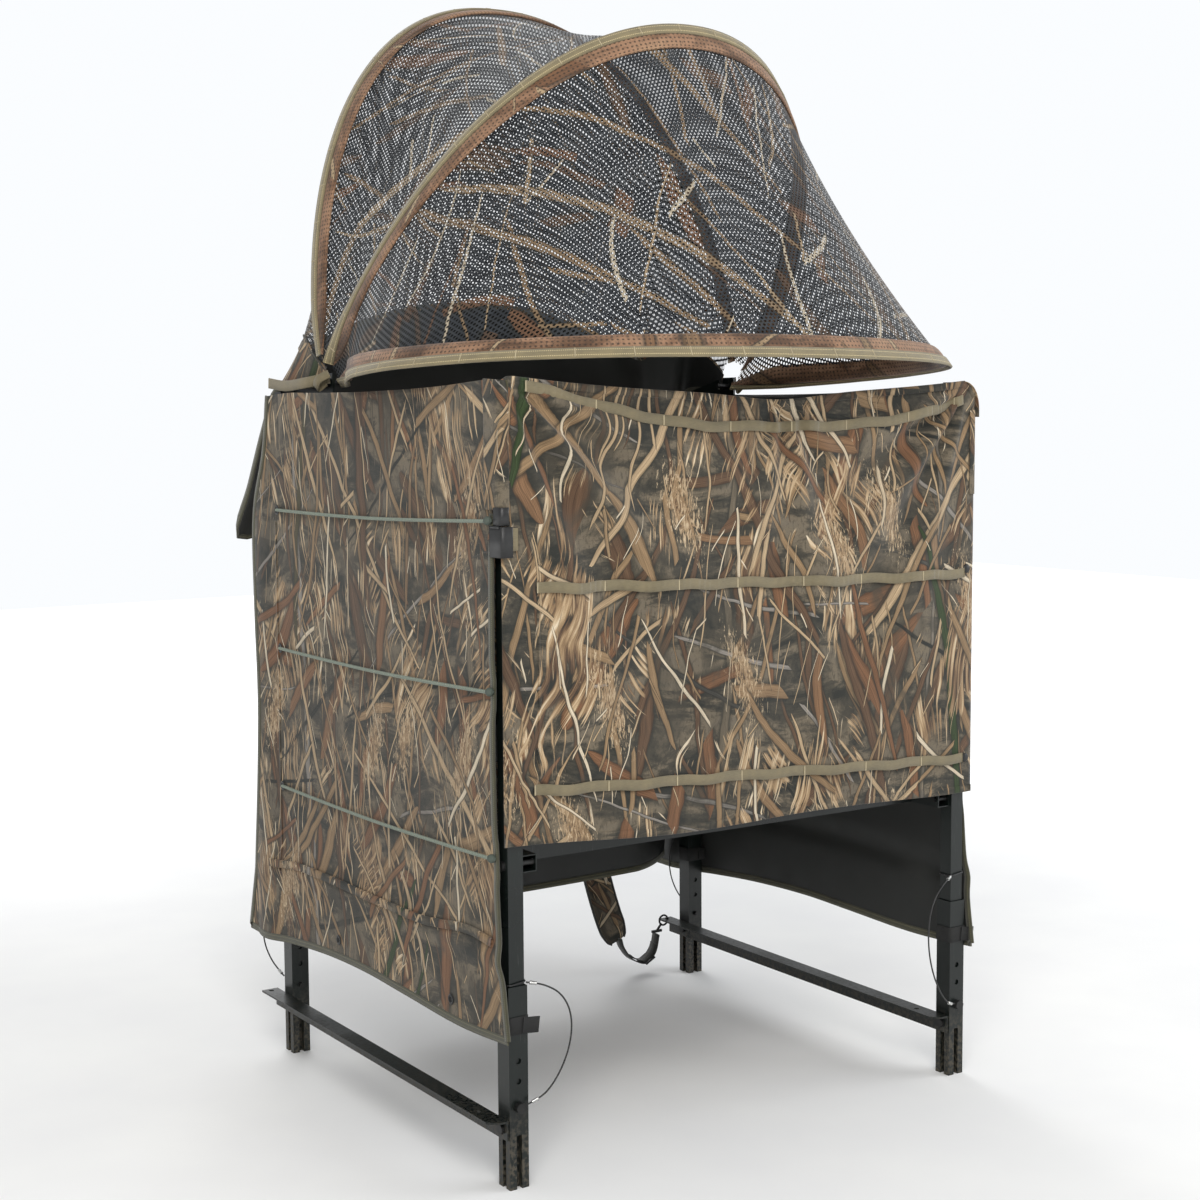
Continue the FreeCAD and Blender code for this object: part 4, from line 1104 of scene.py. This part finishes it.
RIM = [
    (0.408, 0.020), (0.416, 0.060), (0.428, 0.100), (0.464, 0.168), (0.500, 0.275), (0.503, 0.410),
    (0.440, 0.560), (0.300, 0.672), (0.130, 0.722),
]
RIM = [(-x, r) for x, r in RIM] + [(0, 0.730)] + [(x, r) for x, r in reversed(RIM)]


def hoop_lines():
    rear = in_plane(arch(0.430, 0.682, 2.2), REAR_DEG)
    mid = in_plane(arch(0.432, 0.700, 2.1), MIDDLE_DEG)
    flat = smooth_line([(x, 0, r) for x, r in RIM], 200)
    front = in_plane(flat[:, [0, 2]], FRONT_DEG)
    lines = (("rear", rear), ("middle", mid), ("front", front))
    return {name: even(line, HOOP_POINTS) for name, line in lines}


HOOPS = hoop_lines()
HOOP_BODY = {"rear": "hood_rear", "middle": "hood_middle", "front": "hood_front"}


def make_hoops():
    """Each hoop: a brown double-net sleeve over the bar, with tan webbing bound over its edge."""
    for name, other in (("rear", "middle"), ("middle", "front"), ("front", "middle")):
        line, body = HOOPS[name], HOOP_BODY[name]
        run = tangents(line)
        across = HOOPS[other] - line
        across = unit(across - run * (across * run).sum(1, keepdims=True))
        out = np.cross(across, run)
        out = out * np.sign((out * (line - HOOD)).sum(1, keepdims=True) + 1e-9)
        near = np.clip(np.linalg.norm(line - HOOD - line * (1, 0, 0), axis=1) / 0.12, 0.25, 1)
        centre = line + across * (0.013 * near)[:, None]
        up = np.cross(across, run)
        sleeve = tube(f"hoop_sleeve_{name}", centre, 0.0175 * near, SLEEVE_NET, 14, 0.26, up)
        settle(sleeve, body, f"hood_hoop_{name}")
        edge = line + out * (0.0050 * near)[:, None] - across * (0.003 * near)[:, None]
        binding = band(f"hoop_binding_{name}", edge, across, 0.018, 0.0036, WEB_STITCHED)
        settle(binding, body)
        tacks, stitch = [], np.linspace(-0.0078, 0.0078, 6)
        for k in range(6, len(line) - 6, 14):
            cross = np.array([edge[k] + out[k] * 0.0019 + across[k] * w for w in stitch])
            tacks.append(band("tack", cross, run[k], 0.0016, 0.0008, THREAD))
        stitches = join(f"hoop_tacks_{name}", tacks)
        settle(stitches, body)


def stretch(first, second, s, t, sag):
    """A place on the cloth between two lines, s along them and t across, drawn in a little between."""
    i = s * (len(first) - 1)
    k = np.clip(i.astype(int), 0, len(first) - 2)
    f = (i - k)[..., None]
    a = first[k] * (1 - f) + first[k + 1] * f
    b = second[k] * (1 - f) + second[k + 1] * f
    t = t[..., None]
    p = a * (1 - t) + b * t
    inward = unit(HOOD + np.array([0, 0, 0.12]) - p)
    open_by = np.clip(np.linalg.norm(b - a, axis=-1, keepdims=True) / 0.4, 0, 1)
    return p + inward * sag * 4 * t * (1 - t) * open_by


# the net's mesh size, and how much of each mesh's radius is thread
PITCH = 0.0078
STRAND = 0.44


def net_between(name, first, second, sag, uv_shift, keep=None):
    """Knitted net between two lines: six-sided meshes, clipped at the far edge."""
    span = np.linalg.norm(second - first, axis=1)
    gone = gone_along((first + second) / 2)
    total = gone[-1]
    width = float(span.max())
    step_u, step_v = PITCH * math.sqrt(3) / 2 * 1.12, PITCH * 0.75
    columns, rows = int(total / step_u), int(width / step_v)
    hexagon = [(math.cos(math.radians(60 * k + 30)), math.sin(math.radians(60 * k + 30))) for k in range(6)]
    rad_u, rad_v = step_u / math.sqrt(3), PITCH / 2
    cells_u, cells_v = [], []
    for j in range(rows):
        shift = 0.5 if j % 2 else 0.0
        cells_u.append((np.arange(columns) + 0.5 + shift) * step_u)
        cells_v.append(np.full(columns, (j + 0.5) * step_v))
    cu, cv = np.concatenate(cells_u), np.concatenate(cells_v)
    inside = cu < total - step_u
    cu, cv = cu[inside], cv[inside]
    local = np.interp(cu, gone, span)
    good = cv < local - step_v * 0.3
    if keep is not None:
        good &= keep(cu / total, cv / np.maximum(local, 1e-6))
    cu, cv = cu[good], cv[good]
    ring_u = np.stack([cu + rad_u * a for a, _ in hexagon], 1)
    ring_v = np.stack([cv + rad_v * b for _, b in hexagon], 1)
    inner_u = np.stack([cu + rad_u * a * (1 - STRAND) for a, _ in hexagon], 1)
    inner_v = np.stack([cv + rad_v * b * (1 - STRAND) for _, b in hexagon], 1)
    count = len(cu)
    corners = np.stack([ring_u.ravel() / (step_u * 0.25), ring_v.ravel() / (step_v * 0.2)], 1)
    key = np.round(corners).astype(int)
    _, keep_at, back = np.unique(key, axis=0, return_index=True, return_inverse=True)
    back = back.reshape(-1)
    all_u = np.r_[ring_u.ravel()[keep_at], inner_u.ravel()]
    all_v = np.r_[ring_v.ravel()[keep_at], inner_v.ravel()]
    outer = back.reshape(count, 6)
    inner = len(keep_at) + np.arange(count * 6).reshape(count, 6)
    faces = []
    for k in range(6):
        n = (k + 1) % 6
        faces.append(np.stack([outer[:, k], outer[:, n], inner[:, n], inner[:, k]], 1))
    faces = np.vstack(faces)
    all_u = np.clip(all_u, 0, total)
    local = np.maximum(np.interp(all_u, gone, span), 1e-6)
    across = np.clip(all_v / local, 0, 1)
    s = np.interp(all_u, gone, np.linspace(0, 1, len(gone)))
    points = stretch(first, second, s, across, sag)
    uv = np.stack([all_u + uv_shift, all_v + uv_shift * 0.7], 1)
    return piece(name, points, faces, uv, [NET])


def angle_weights(obj):
    """Works out each point's angle about the hood's pivot line, and makes no weights from it."""
    co = coordinates(obj)
    angle = np.degrees(np.arctan2(co[:, 2] - HOOD[2], HOOD[1] - co[:, 1]))
    angle = np.where(angle < -60, angle + 360, angle)


HEM = [
    (-0.412, 0.240, 1.176), (-0.430, 0.300, 1.173), (-0.436, 0.392, 1.168), (-0.441, 0.440, 1.100),
    (-0.442, 0.510, 0.995),
]
HEM += [(-0.441, 0.574, 0.910), (-0.385, 0.586, 0.910), (-0.28, 0.594, 0.921), (-0.14, 0.598, 0.928)]
HEM = HEM + [(0, 0.600, 0.930)] + [(-x, y, z) for x, y, z in reversed(HEM)]


def make_hood():
    make_hoops()
    rear, mid, front = HOOPS["rear"], HOOPS["middle"], HOOPS["front"]
    hem_line = even(smooth_line(HEM, 200), len(rear))
    top = net_between("net_top", rear, mid, 0.020, 11.0)
    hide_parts("hood_net_top")
    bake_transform(top)
    angle_weights(top)
    lower = net_between("net_front", mid, front, 0.012, 17.0)
    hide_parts("hood_net_front")
    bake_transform(lower)
    angle_weights(lower)
    # rear of the hood: net above, solid printed cloth below
    solid_from = 0.56
    net = net_between("net_rear", rear, hem_line, 0.030, 23.0, keep=lambda s, t: t < solid_from + 0.012)
    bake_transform(net)
    s = np.linspace(0.0, 1.0, 170)
    t = np.linspace(solid_from, 1.0, 60)
    ss, tt = np.meshgrid(s, t)
    points = stretch(rear, hem_line, ss, tt, 0.030)
    loose = np.clip((tt - solid_from) * 4, 0, 1)
    push = wrinkle(points[..., 0] * 1.2, points[..., 2], 31, 1.4) * 0.007 * loose
    flare = unit(points - HOOD)
    points = points + flare * push[..., None]
    across = np.linalg.norm(hem_line - rear, axis=1)
    u = ss * length_of((rear + hem_line) / 2) + 23.0
    uv = np.stack([u, tt * np.interp(ss, np.linspace(0, 1, len(across)), across)], -1)
    cape = grid("hood_cape", points, uv, [PRINT_HOOD, LINING])
    thicken(cape, CLOTH_THICK)
    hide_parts("hood_rear_cloth")
    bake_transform(cape)
    edge = band("cape_binding", points[-1][::2], UPRIGHT, 0.014, 0.0036, BINDING)
    settle(edge, "rear_frame")
    lean = unit(rear[:85] - hem_line[:85])[0]
    join_line = band("cape_seam", points[0][::2], lean, 0.010, 0.0022, PRINT_HOOD)
    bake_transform(join_line)


def make_hood_ties():
    """Tan webbing ties from each hood pivot back round the cape."""
    for side, sign in (("left", -1), ("right", 1)):
        route = [(0.424, 0.212, 1.183), (0.449, 0.250, 1.176), (0.453, 0.320, 1.172), (0.452, 0.392, 1.178)]
        line = smooth_line([(sign * x, y, z) for x, y, z in route], 300)
        tie = band("tie", line, UPRIGHT, 0.018, 0.0022, WEB)
        knot = [(0.430, 0.200, 1.190), (0.444, 0.212, 1.180), (0.440, 0.226, 1.166), (0.428, 0.218, 1.176)]
        line = smooth_line([(sign * x, y, z) for x, y, z in knot], 500)
        tied = band("knot", line, (0.3 * sign, 0.6, 0.7), 0.015, 0.003, WEB)
        both = join(f"hood_tie_{side}", [tie, tied])
        settle(both, "rear_frame")


# ---------------------------------------------------------------- seat and backrest
def puff(obj, pressure, cap, frames=20):
    before = coordinates(obj)
    cloth = obj.modifiers.new("cloth", "CLOTH")
    cloth.settings.use_pressure = True
    cloth.settings.uniform_pressure_force = pressure
    cloth.settings.effector_weights.gravity = 0
    cloth.settings.quality = 5
    cloth.point_cache.frame_end = frames
    for f in range(1, frames + 1):
        bpy.context.scene.frame_set(f)
    apply_modifiers(obj)
    bpy.context.scene.frame_set(1)
    after = coordinates(obj)
    move = after - before
    far = np.linalg.norm(move, axis=1, keepdims=True)
    after = before + move * np.minimum(1, cap / np.maximum(far, 1e-9))
    obj.data.vertices.foreach_set("co", after.ravel())
    return obj


def pad(name, node, body, made, cap, channels, axis):
    """A sewn pad in its CAD solid's place: crowned faces, pulled-in sides and sewn channels."""
    low, high = (np.array(p, float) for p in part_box(node))
    centre, size = (low + high) / 2, high - low
    thin = int(np.argmin(size))
    a, b = [k for k in range(3) if k != thin]
    rows, columns = 60, 80
    u = np.linspace(-1, 1, columns)[None, :]
    v = np.linspace(-1, 1, rows)[:, None]
    crown = ((1 - np.abs(u) ** 6) * (1 - np.abs(v) ** 6)) ** 0.5
    pull = 1 - 0.012 * (1 - u**2) * np.abs(v) ** 8
    pull_u = 1 - 0.012 * (1 - v**2) * np.abs(u) ** 8
    groove = np.zeros_like(crown)
    place = (u if axis == 0 else v) + 0 * crown
    for c in np.linspace(-1, 1, channels + 2)[1:-1]:
        groove = groove + np.exp(-(((place - c) / 0.018) ** 2))
    rise = crown * (0.5 - 0.16 * groove) * size[thin]
    sides = []
    for sign in (-1, 1):
        p = np.zeros((rows, columns, 3))
        p[..., a] = centre[a] + u * size[a] / 2 * pull_u
        p[..., b] = centre[b] + v * size[b] / 2 * pull
        p[..., thin] = centre[thin] + sign * rise
        uv = np.stack([p[..., a] + 9.3, p[..., b] + sign], -1)
        sides.append(grid(f"{name}_{sign}", p, uv, [made], flip=sign < 0))
    obj = join(name, sides)
    made_mesh = bmesh.new()
    made_mesh.from_mesh(obj.data)
    bmesh.ops.remove_doubles(made_mesh, verts=made_mesh.verts, dist=0.0004)
    bmesh.ops.recalc_face_normals(made_mesh, faces=made_mesh.faces)
    made_mesh.to_mesh(obj.data)
    made_mesh.free()
    puff(obj, 2.0, cap)
    settle(obj, body, node)
    rim = []
    for s in np.linspace(0, 1, 240):
        side, f = int(s * 4) % 4, s * 4 - int(s * 4)
        corner = [(-1, -1), (1, -1), (1, 1), (-1, 1), (-1, -1)]
        q = np.array(corner[side]) * (1 - f) + np.array(corner[side + 1]) * f
        p = centre.copy()
        p[a] += q[0] * (size[a] / 2 - 0.002) * (1 - 0.012 * (1 - q[1] ** 2) * abs(q[0]) ** 8)
        p[b] += q[1] * (size[b] / 2 - 0.002) * (1 - 0.012 * (1 - q[0] ** 2) * abs(q[1]) ** 8)
        rim.append(p)
    piping = tube(f"{name}_piping", np.array(rim), 0.003, DARK_BINDING, 8)
    settle(piping, body)
    return obj


# ---------------------------------------------------------------- carrying straps
STRAP_RIGHT = [
    (0.190, 0.408, 0.905), (0.195, 0.411, 0.720), (0.205, 0.418, 0.480), (0.222, 0.424, 0.300),
    (0.242, 0.428, 0.215), (0.268, 0.428, 0.130), (0.290, 0.424, 0.072),
]
STRAP_LEFT = [
    (-0.190, 0.408, 0.905), (-0.195, 0.411, 0.720), (-0.205, 0.418, 0.520), (-0.222, 0.424, 0.390),
    (-0.240, 0.426, 0.320),
]
WEB_RIGHT = [(0.290, 0.420, 0.078), (0.296, 0.418, 0.058), (0.316, 0.416, 0.033), (0.345, 0.413, 0.022)]
WEB_RIGHT += [(0.366, 0.410, 0.042), (0.373, 0.407, 0.078)]
WEB_LEFT = [(-0.236, 0.427, 0.330), (-0.246, 0.426, 0.306), (-0.262, 0.426, 0.280), (-0.292, 0.426, 0.262)]
WEB_LEFT += [(-0.330, 0.425, 0.268), (-0.355, 0.424, 0.290)]


def padded_strap(side, route):
    """A carrying strap: two layers with a soft core, channels across it and bound edges."""
    line = smooth_line(route, 160)
    run = tangents(line)
    across = np.broadcast_to(np.array([1.0, 0, 0]), line.shape)
    across = unit(across - run * (across * run).sum(1, keepdims=True))
    out = np.cross(across, run)
    along = gone_along(line)
    taper = np.clip(np.minimum(along, along[-1] - along) / 0.03, 0, 1) ** 0.5
    half = 0.029 * (0.55 + 0.45 * taper)
    ends = np.minimum(taper + 0.2, 1)
    quilt = 1 - 0.35 * np.exp(-(((along % 0.085) - 0.0425) / 0.006) ** 2)
    columns = 21
    w = np.linspace(-1, 1, columns)
    rise = 0.0052 * (1 - np.abs(w) ** 4)
    sides = []
    for sign in (-1, 1):
        p = line[:, None] + across[:, None] * (w[None, :, None] * half[:, None, None])
        p = p + out[:, None] * (sign * rise[None, :, None] * (quilt * ends)[:, None, None])
        u, v = np.broadcast_arrays(w * 0.03, along[:, None])
        uv = np.stack([u + 13.0 + sign, v], -1)
        sides.append(grid(f"half_{sign}", p, uv, [PRINT], flip=sign > 0))
    obj = join(f"carrying_strap_{side}", sides)
    settle(obj, "rear_frame", f"backpack_strap_{side}")
    for k, sign in enumerate((-1, 1)):
        edge = line + across * (sign * half)[:, None]
        made = tube(f"strap_edge_{side}_{k}", edge, 0.0036, DARK_BINDING, 8, flat=0.7)
        settle(made, "rear_frame")


def make_carrying_straps():
    padded_strap("right", STRAP_RIGHT)
    padded_strap("left", STRAP_LEFT)
    webs = []
    for k, route in enumerate((WEB_RIGHT, WEB_LEFT)):
        line = smooth_line(route, 300)
        webs.append(band(f"web_{k}", line, (0, 1, 0), 0.024, 0.0018, DARK_BINDING))
        fold = line[int(len(line) * 0.30) :] + np.array([0.0, 0.001, 0.0045])
        webs.append(band(f"fold_{k}", fold[: int(len(fold) * 0.8)], (0, 1, 0), 0.024, 0.0018, DARK_BINDING))
    web = join("strap_tail_webbing", webs)
    settle(web, "rear_frame", "strap_webbing")
    for k, (at, lean) in enumerate((((0.352, 0.4125, 0.0275), 0.5), ((-0.312, 0.4255, 0.266), 0.2))):
        bars = []
        run, half = np.array([math.cos(lean), 0, math.sin(lean)]), np.array([0, 0.0150, 0])
        for off in (-0.010, 0.0, 0.010):
            centre = np.array(at) + run * off
            bars.append(tube("bar", np.array([centre - half, centre + half]), 0.0022, BLACK_PLASTIC, 8))
        for sign in (-1, 1):
            ends = np.array([np.array(at) + run * reach + sign * half for reach in (-0.012, 0.012)])
            bars.append(tube("rail", ends, 0.0024, BLACK_PLASTIC, 8))
        glide = join(f"tri_glide_{k}", bars)
        settle(glide, "rear_frame")


# ---------------------------------------------------------------- lanyards and collars
LANYARDS = {
    ("front", "left"): (
        0.304,
        [
            (-0.419, -0.386, 0.304), (-0.408, -0.393, 0.303), (-0.392, -0.398, 0.298),
            (-0.372, -0.402, 0.286), (-0.357, -0.404, 0.264), (-0.352, -0.405, 0.236),
            (-0.357, -0.406, 0.205), (-0.371, -0.407, 0.175), (-0.388, -0.405, 0.150),
            (-0.404, -0.400, 0.134), (-0.422, -0.393, 0.126),
        ],
    ),
    ("front", "right"): (
        0.346,
        [
            (0.419, -0.386, 0.346), (0.408, -0.393, 0.344), (0.392, -0.398, 0.338), (0.372, -0.402, 0.324),
            (0.356, -0.404, 0.298), (0.350, -0.405, 0.264), (0.351, -0.406, 0.228), (0.359, -0.407, 0.193),
            (0.374, -0.406, 0.162), (0.392, -0.402, 0.140), (0.408, -0.397, 0.129), (0.422, -0.393, 0.126),
        ],
    ),
    ("rear", "left"): (
        0.304,
        [
            (-0.438, 0.391, 0.304), (-0.443, 0.402, 0.302), (-0.447, 0.420, 0.293), (-0.449, 0.443, 0.272),
            (-0.450, 0.464, 0.242), (-0.451, 0.475, 0.208), (-0.451, 0.468, 0.174), (-0.449, 0.446, 0.150),
            (-0.446, 0.420, 0.136), (-0.443, 0.403, 0.128),
        ],
    ),
    ("rear", "right"): (
        0.304,
        [
            (0.438, 0.391, 0.304), (0.443, 0.402, 0.302), (0.447, 0.420, 0.293), (0.449, 0.441, 0.272),
            (0.450, 0.460, 0.242), (0.451, 0.471, 0.208), (0.451, 0.465, 0.175), (0.449, 0.445, 0.151),
            (0.446, 0.420, 0.137), (0.443, 0.403, 0.128),
        ],
    ),
}
WIRE_RADIUS = 0.0013


def make_lanyards():
    for (end, side), (loop_z, route) in LANYARDS.items():
        body = f"{end}_sleeve_{side}"
        line = even(route_line(route), 140)
        wire = tube(f"wire_{end}_{side}", line, WIRE_RADIUS, WIRE, 10)
        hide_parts(f"lanyard_{end}_{side}")
        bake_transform(wire)
        sx = SIGN[side]
        sy = -1 if end == "front" else 1
        ring = []
        for a in np.linspace(0, 2 * math.pi, 49):
            c, s = math.cos(a), math.sin(a)
            reach = 0.0150 / max(abs(c), abs(s)) if max(abs(c), abs(s)) > 0.82 else 0.0186
            ring.append((sx * POST_X + reach * c, sy * POST_Y + reach * s, loop_z + 0.002 * c))
        loop = tube(f"wire_loop_{end}_{side}", np.array(ring), WIRE_RADIUS, WIRE, 8)
        settle(loop, body)
        for k, (index, whose) in enumerate(((6, body), (len(line) - 8, f"lock_pin_{end}_{side}"))):
            at, away = line[index], unit(line[index + 3] - line[index - 3])
            outline = [
                (-0.0055, 0.0016), (-0.005, 0.0027), (-0.002, 0.0029), (0.002, 0.0025), (0.005, 0.0028),
                (0.0055, 0.0016),
            ]
            ferrule = lathe(f"ferrule_{end}_{side}_{k}", at, away, outline, SILVER, 14)
            settle(ferrule, whose)


def make_collars():
    """Hook-and-loop collars that hold the skirt's lower corners to the sleeves."""
    for side, sx in (("left", -1), ("right", 1)):
        for end, sy in (("front", -1), ("rear", 1)):
            cx, cy, z = sx * POST_X, sy * POST_Y, 0.243
            half = SLEEVE_HALF + 0.0012
            ring = []
            for a in np.linspace(0, 2 * math.pi, 73):
                c, s = math.cos(a), math.sin(a)
                k = (abs(c) ** 9 + abs(s) ** 9) ** (-1 / 9)
                ring.append((cx + half * k * c, cy + half * k * s, z))
            wrap = band(f"collar_wrap_{end}_{side}", np.array(ring), UPRIGHT, 0.026, 0.0022, FUZZ)
            tab_line = [(cx + 0.006, cy - half - 0.0022, z), (cx + half, cy - half - 0.003, z - 0.001)]
            tab_line += [(cx + half + 0.016, cy - half - 0.002, z - 0.003)]
            tab = band("tab", smooth_line(tab_line, 400), UPRIGHT, 0.024, 0.002, FUZZ)
            collar = join(f"collar_{end}_{side}", [wrap, tab])
            settle(collar, f"{end}_sleeve_{side}")


# ---------------------------------------------------------------- stage and light
def make_stage():
    floor = piece("floor", [(-9, -9, 0), (9, -9, 0), (9, 9, 0), (-9, 9, 0)], [(0, 1, 2, 3)])
    made, t, shader = material("pale_floor")
    cloud = t.noise(t.place(), 3.0, 3.0)
    t.feed(shader.inputs["Base Color"], t.ramp(cloud, (0.3, (0.80, 0.80, 0.80)), (0.7, (0.84, 0.84, 0.83))))
    shader.inputs["Roughness"].default_value = 0.85
    # painted light: the floor glows more the farther it is from the blind, so that it fades into the white
    # backdrop
    far = t.far(t.place())
    shader.inputs["Emission Color"].default_value = (1, 1, 1, 1)
    t.feed(shader.inputs["Emission Strength"], t.spread(far, 1.2, 5.0, 0.0, 0.9))
    floor.data.materials.append(made)
    world = bpy.data.worlds.new("studio")
    world.use_nodes = True
    t, sky = Tree(world.node_tree), world.node_tree.nodes["Background"]
    sky.inputs[0].default_value = (0.96, 0.98, 1.0, 1)
    seen = t.add("ShaderNodeLightPath").outputs["Is Camera Ray"]
    t.feed(sky.inputs[1], t.spread(seen, 0.0, 1.0, 0.62, 1.0))
    bpy.context.scene.world = world
    lamps = [
        ("key", (-2.2, -3.4, 3.4), (0, 0, 0.9), 2.6, 150, (1.0, 0.98, 0.95)),
        ("fill", (3.2, -2.0, 2.2), (0, 0, 0.8), 2.4, 60, (0.95, 0.97, 1.0)),
        ("back", (0.8, 3.4, 3.0), (0, 0, 1.2), 2.4, 70, (1.0, 1.0, 1.0)),
    ]
    for name, at, aim, size, power, colour in lamps:
        lamp = bpy.data.objects.new(name, bpy.data.lights.new(name, "AREA"))
        lamp.data.size = size
        lamp.data.energy = power
        lamp.data.color = colour
        lamp.location = at
        lamp.rotation_euler = (Vector(aim) - Vector(at)).to_track_quat("-Z", "Y").to_euler()
        bpy.context.scene.collection.objects.link(lamp)
    bpy.context.scene.view_settings.view_transform = "Standard"


make_lanyards()
make_bungees("left")
make_bungees("right")
make_front()
make_corner("left")
make_corner("right")
make_corner_cover()
make_edge_clip()
make_skirt("left")
make_skirt("right")
make_back()
make_hood()
make_hood_ties()
pad("seat_cushion", "seat_pad", "seat_link", PRINT, 0.004, 3, 0)
pad("backrest_cushion", "backrest_pad", "rear_frame", PRINT, 0.003, 1, 1)
make_carrying_straps()
make_collars()
make_stage()
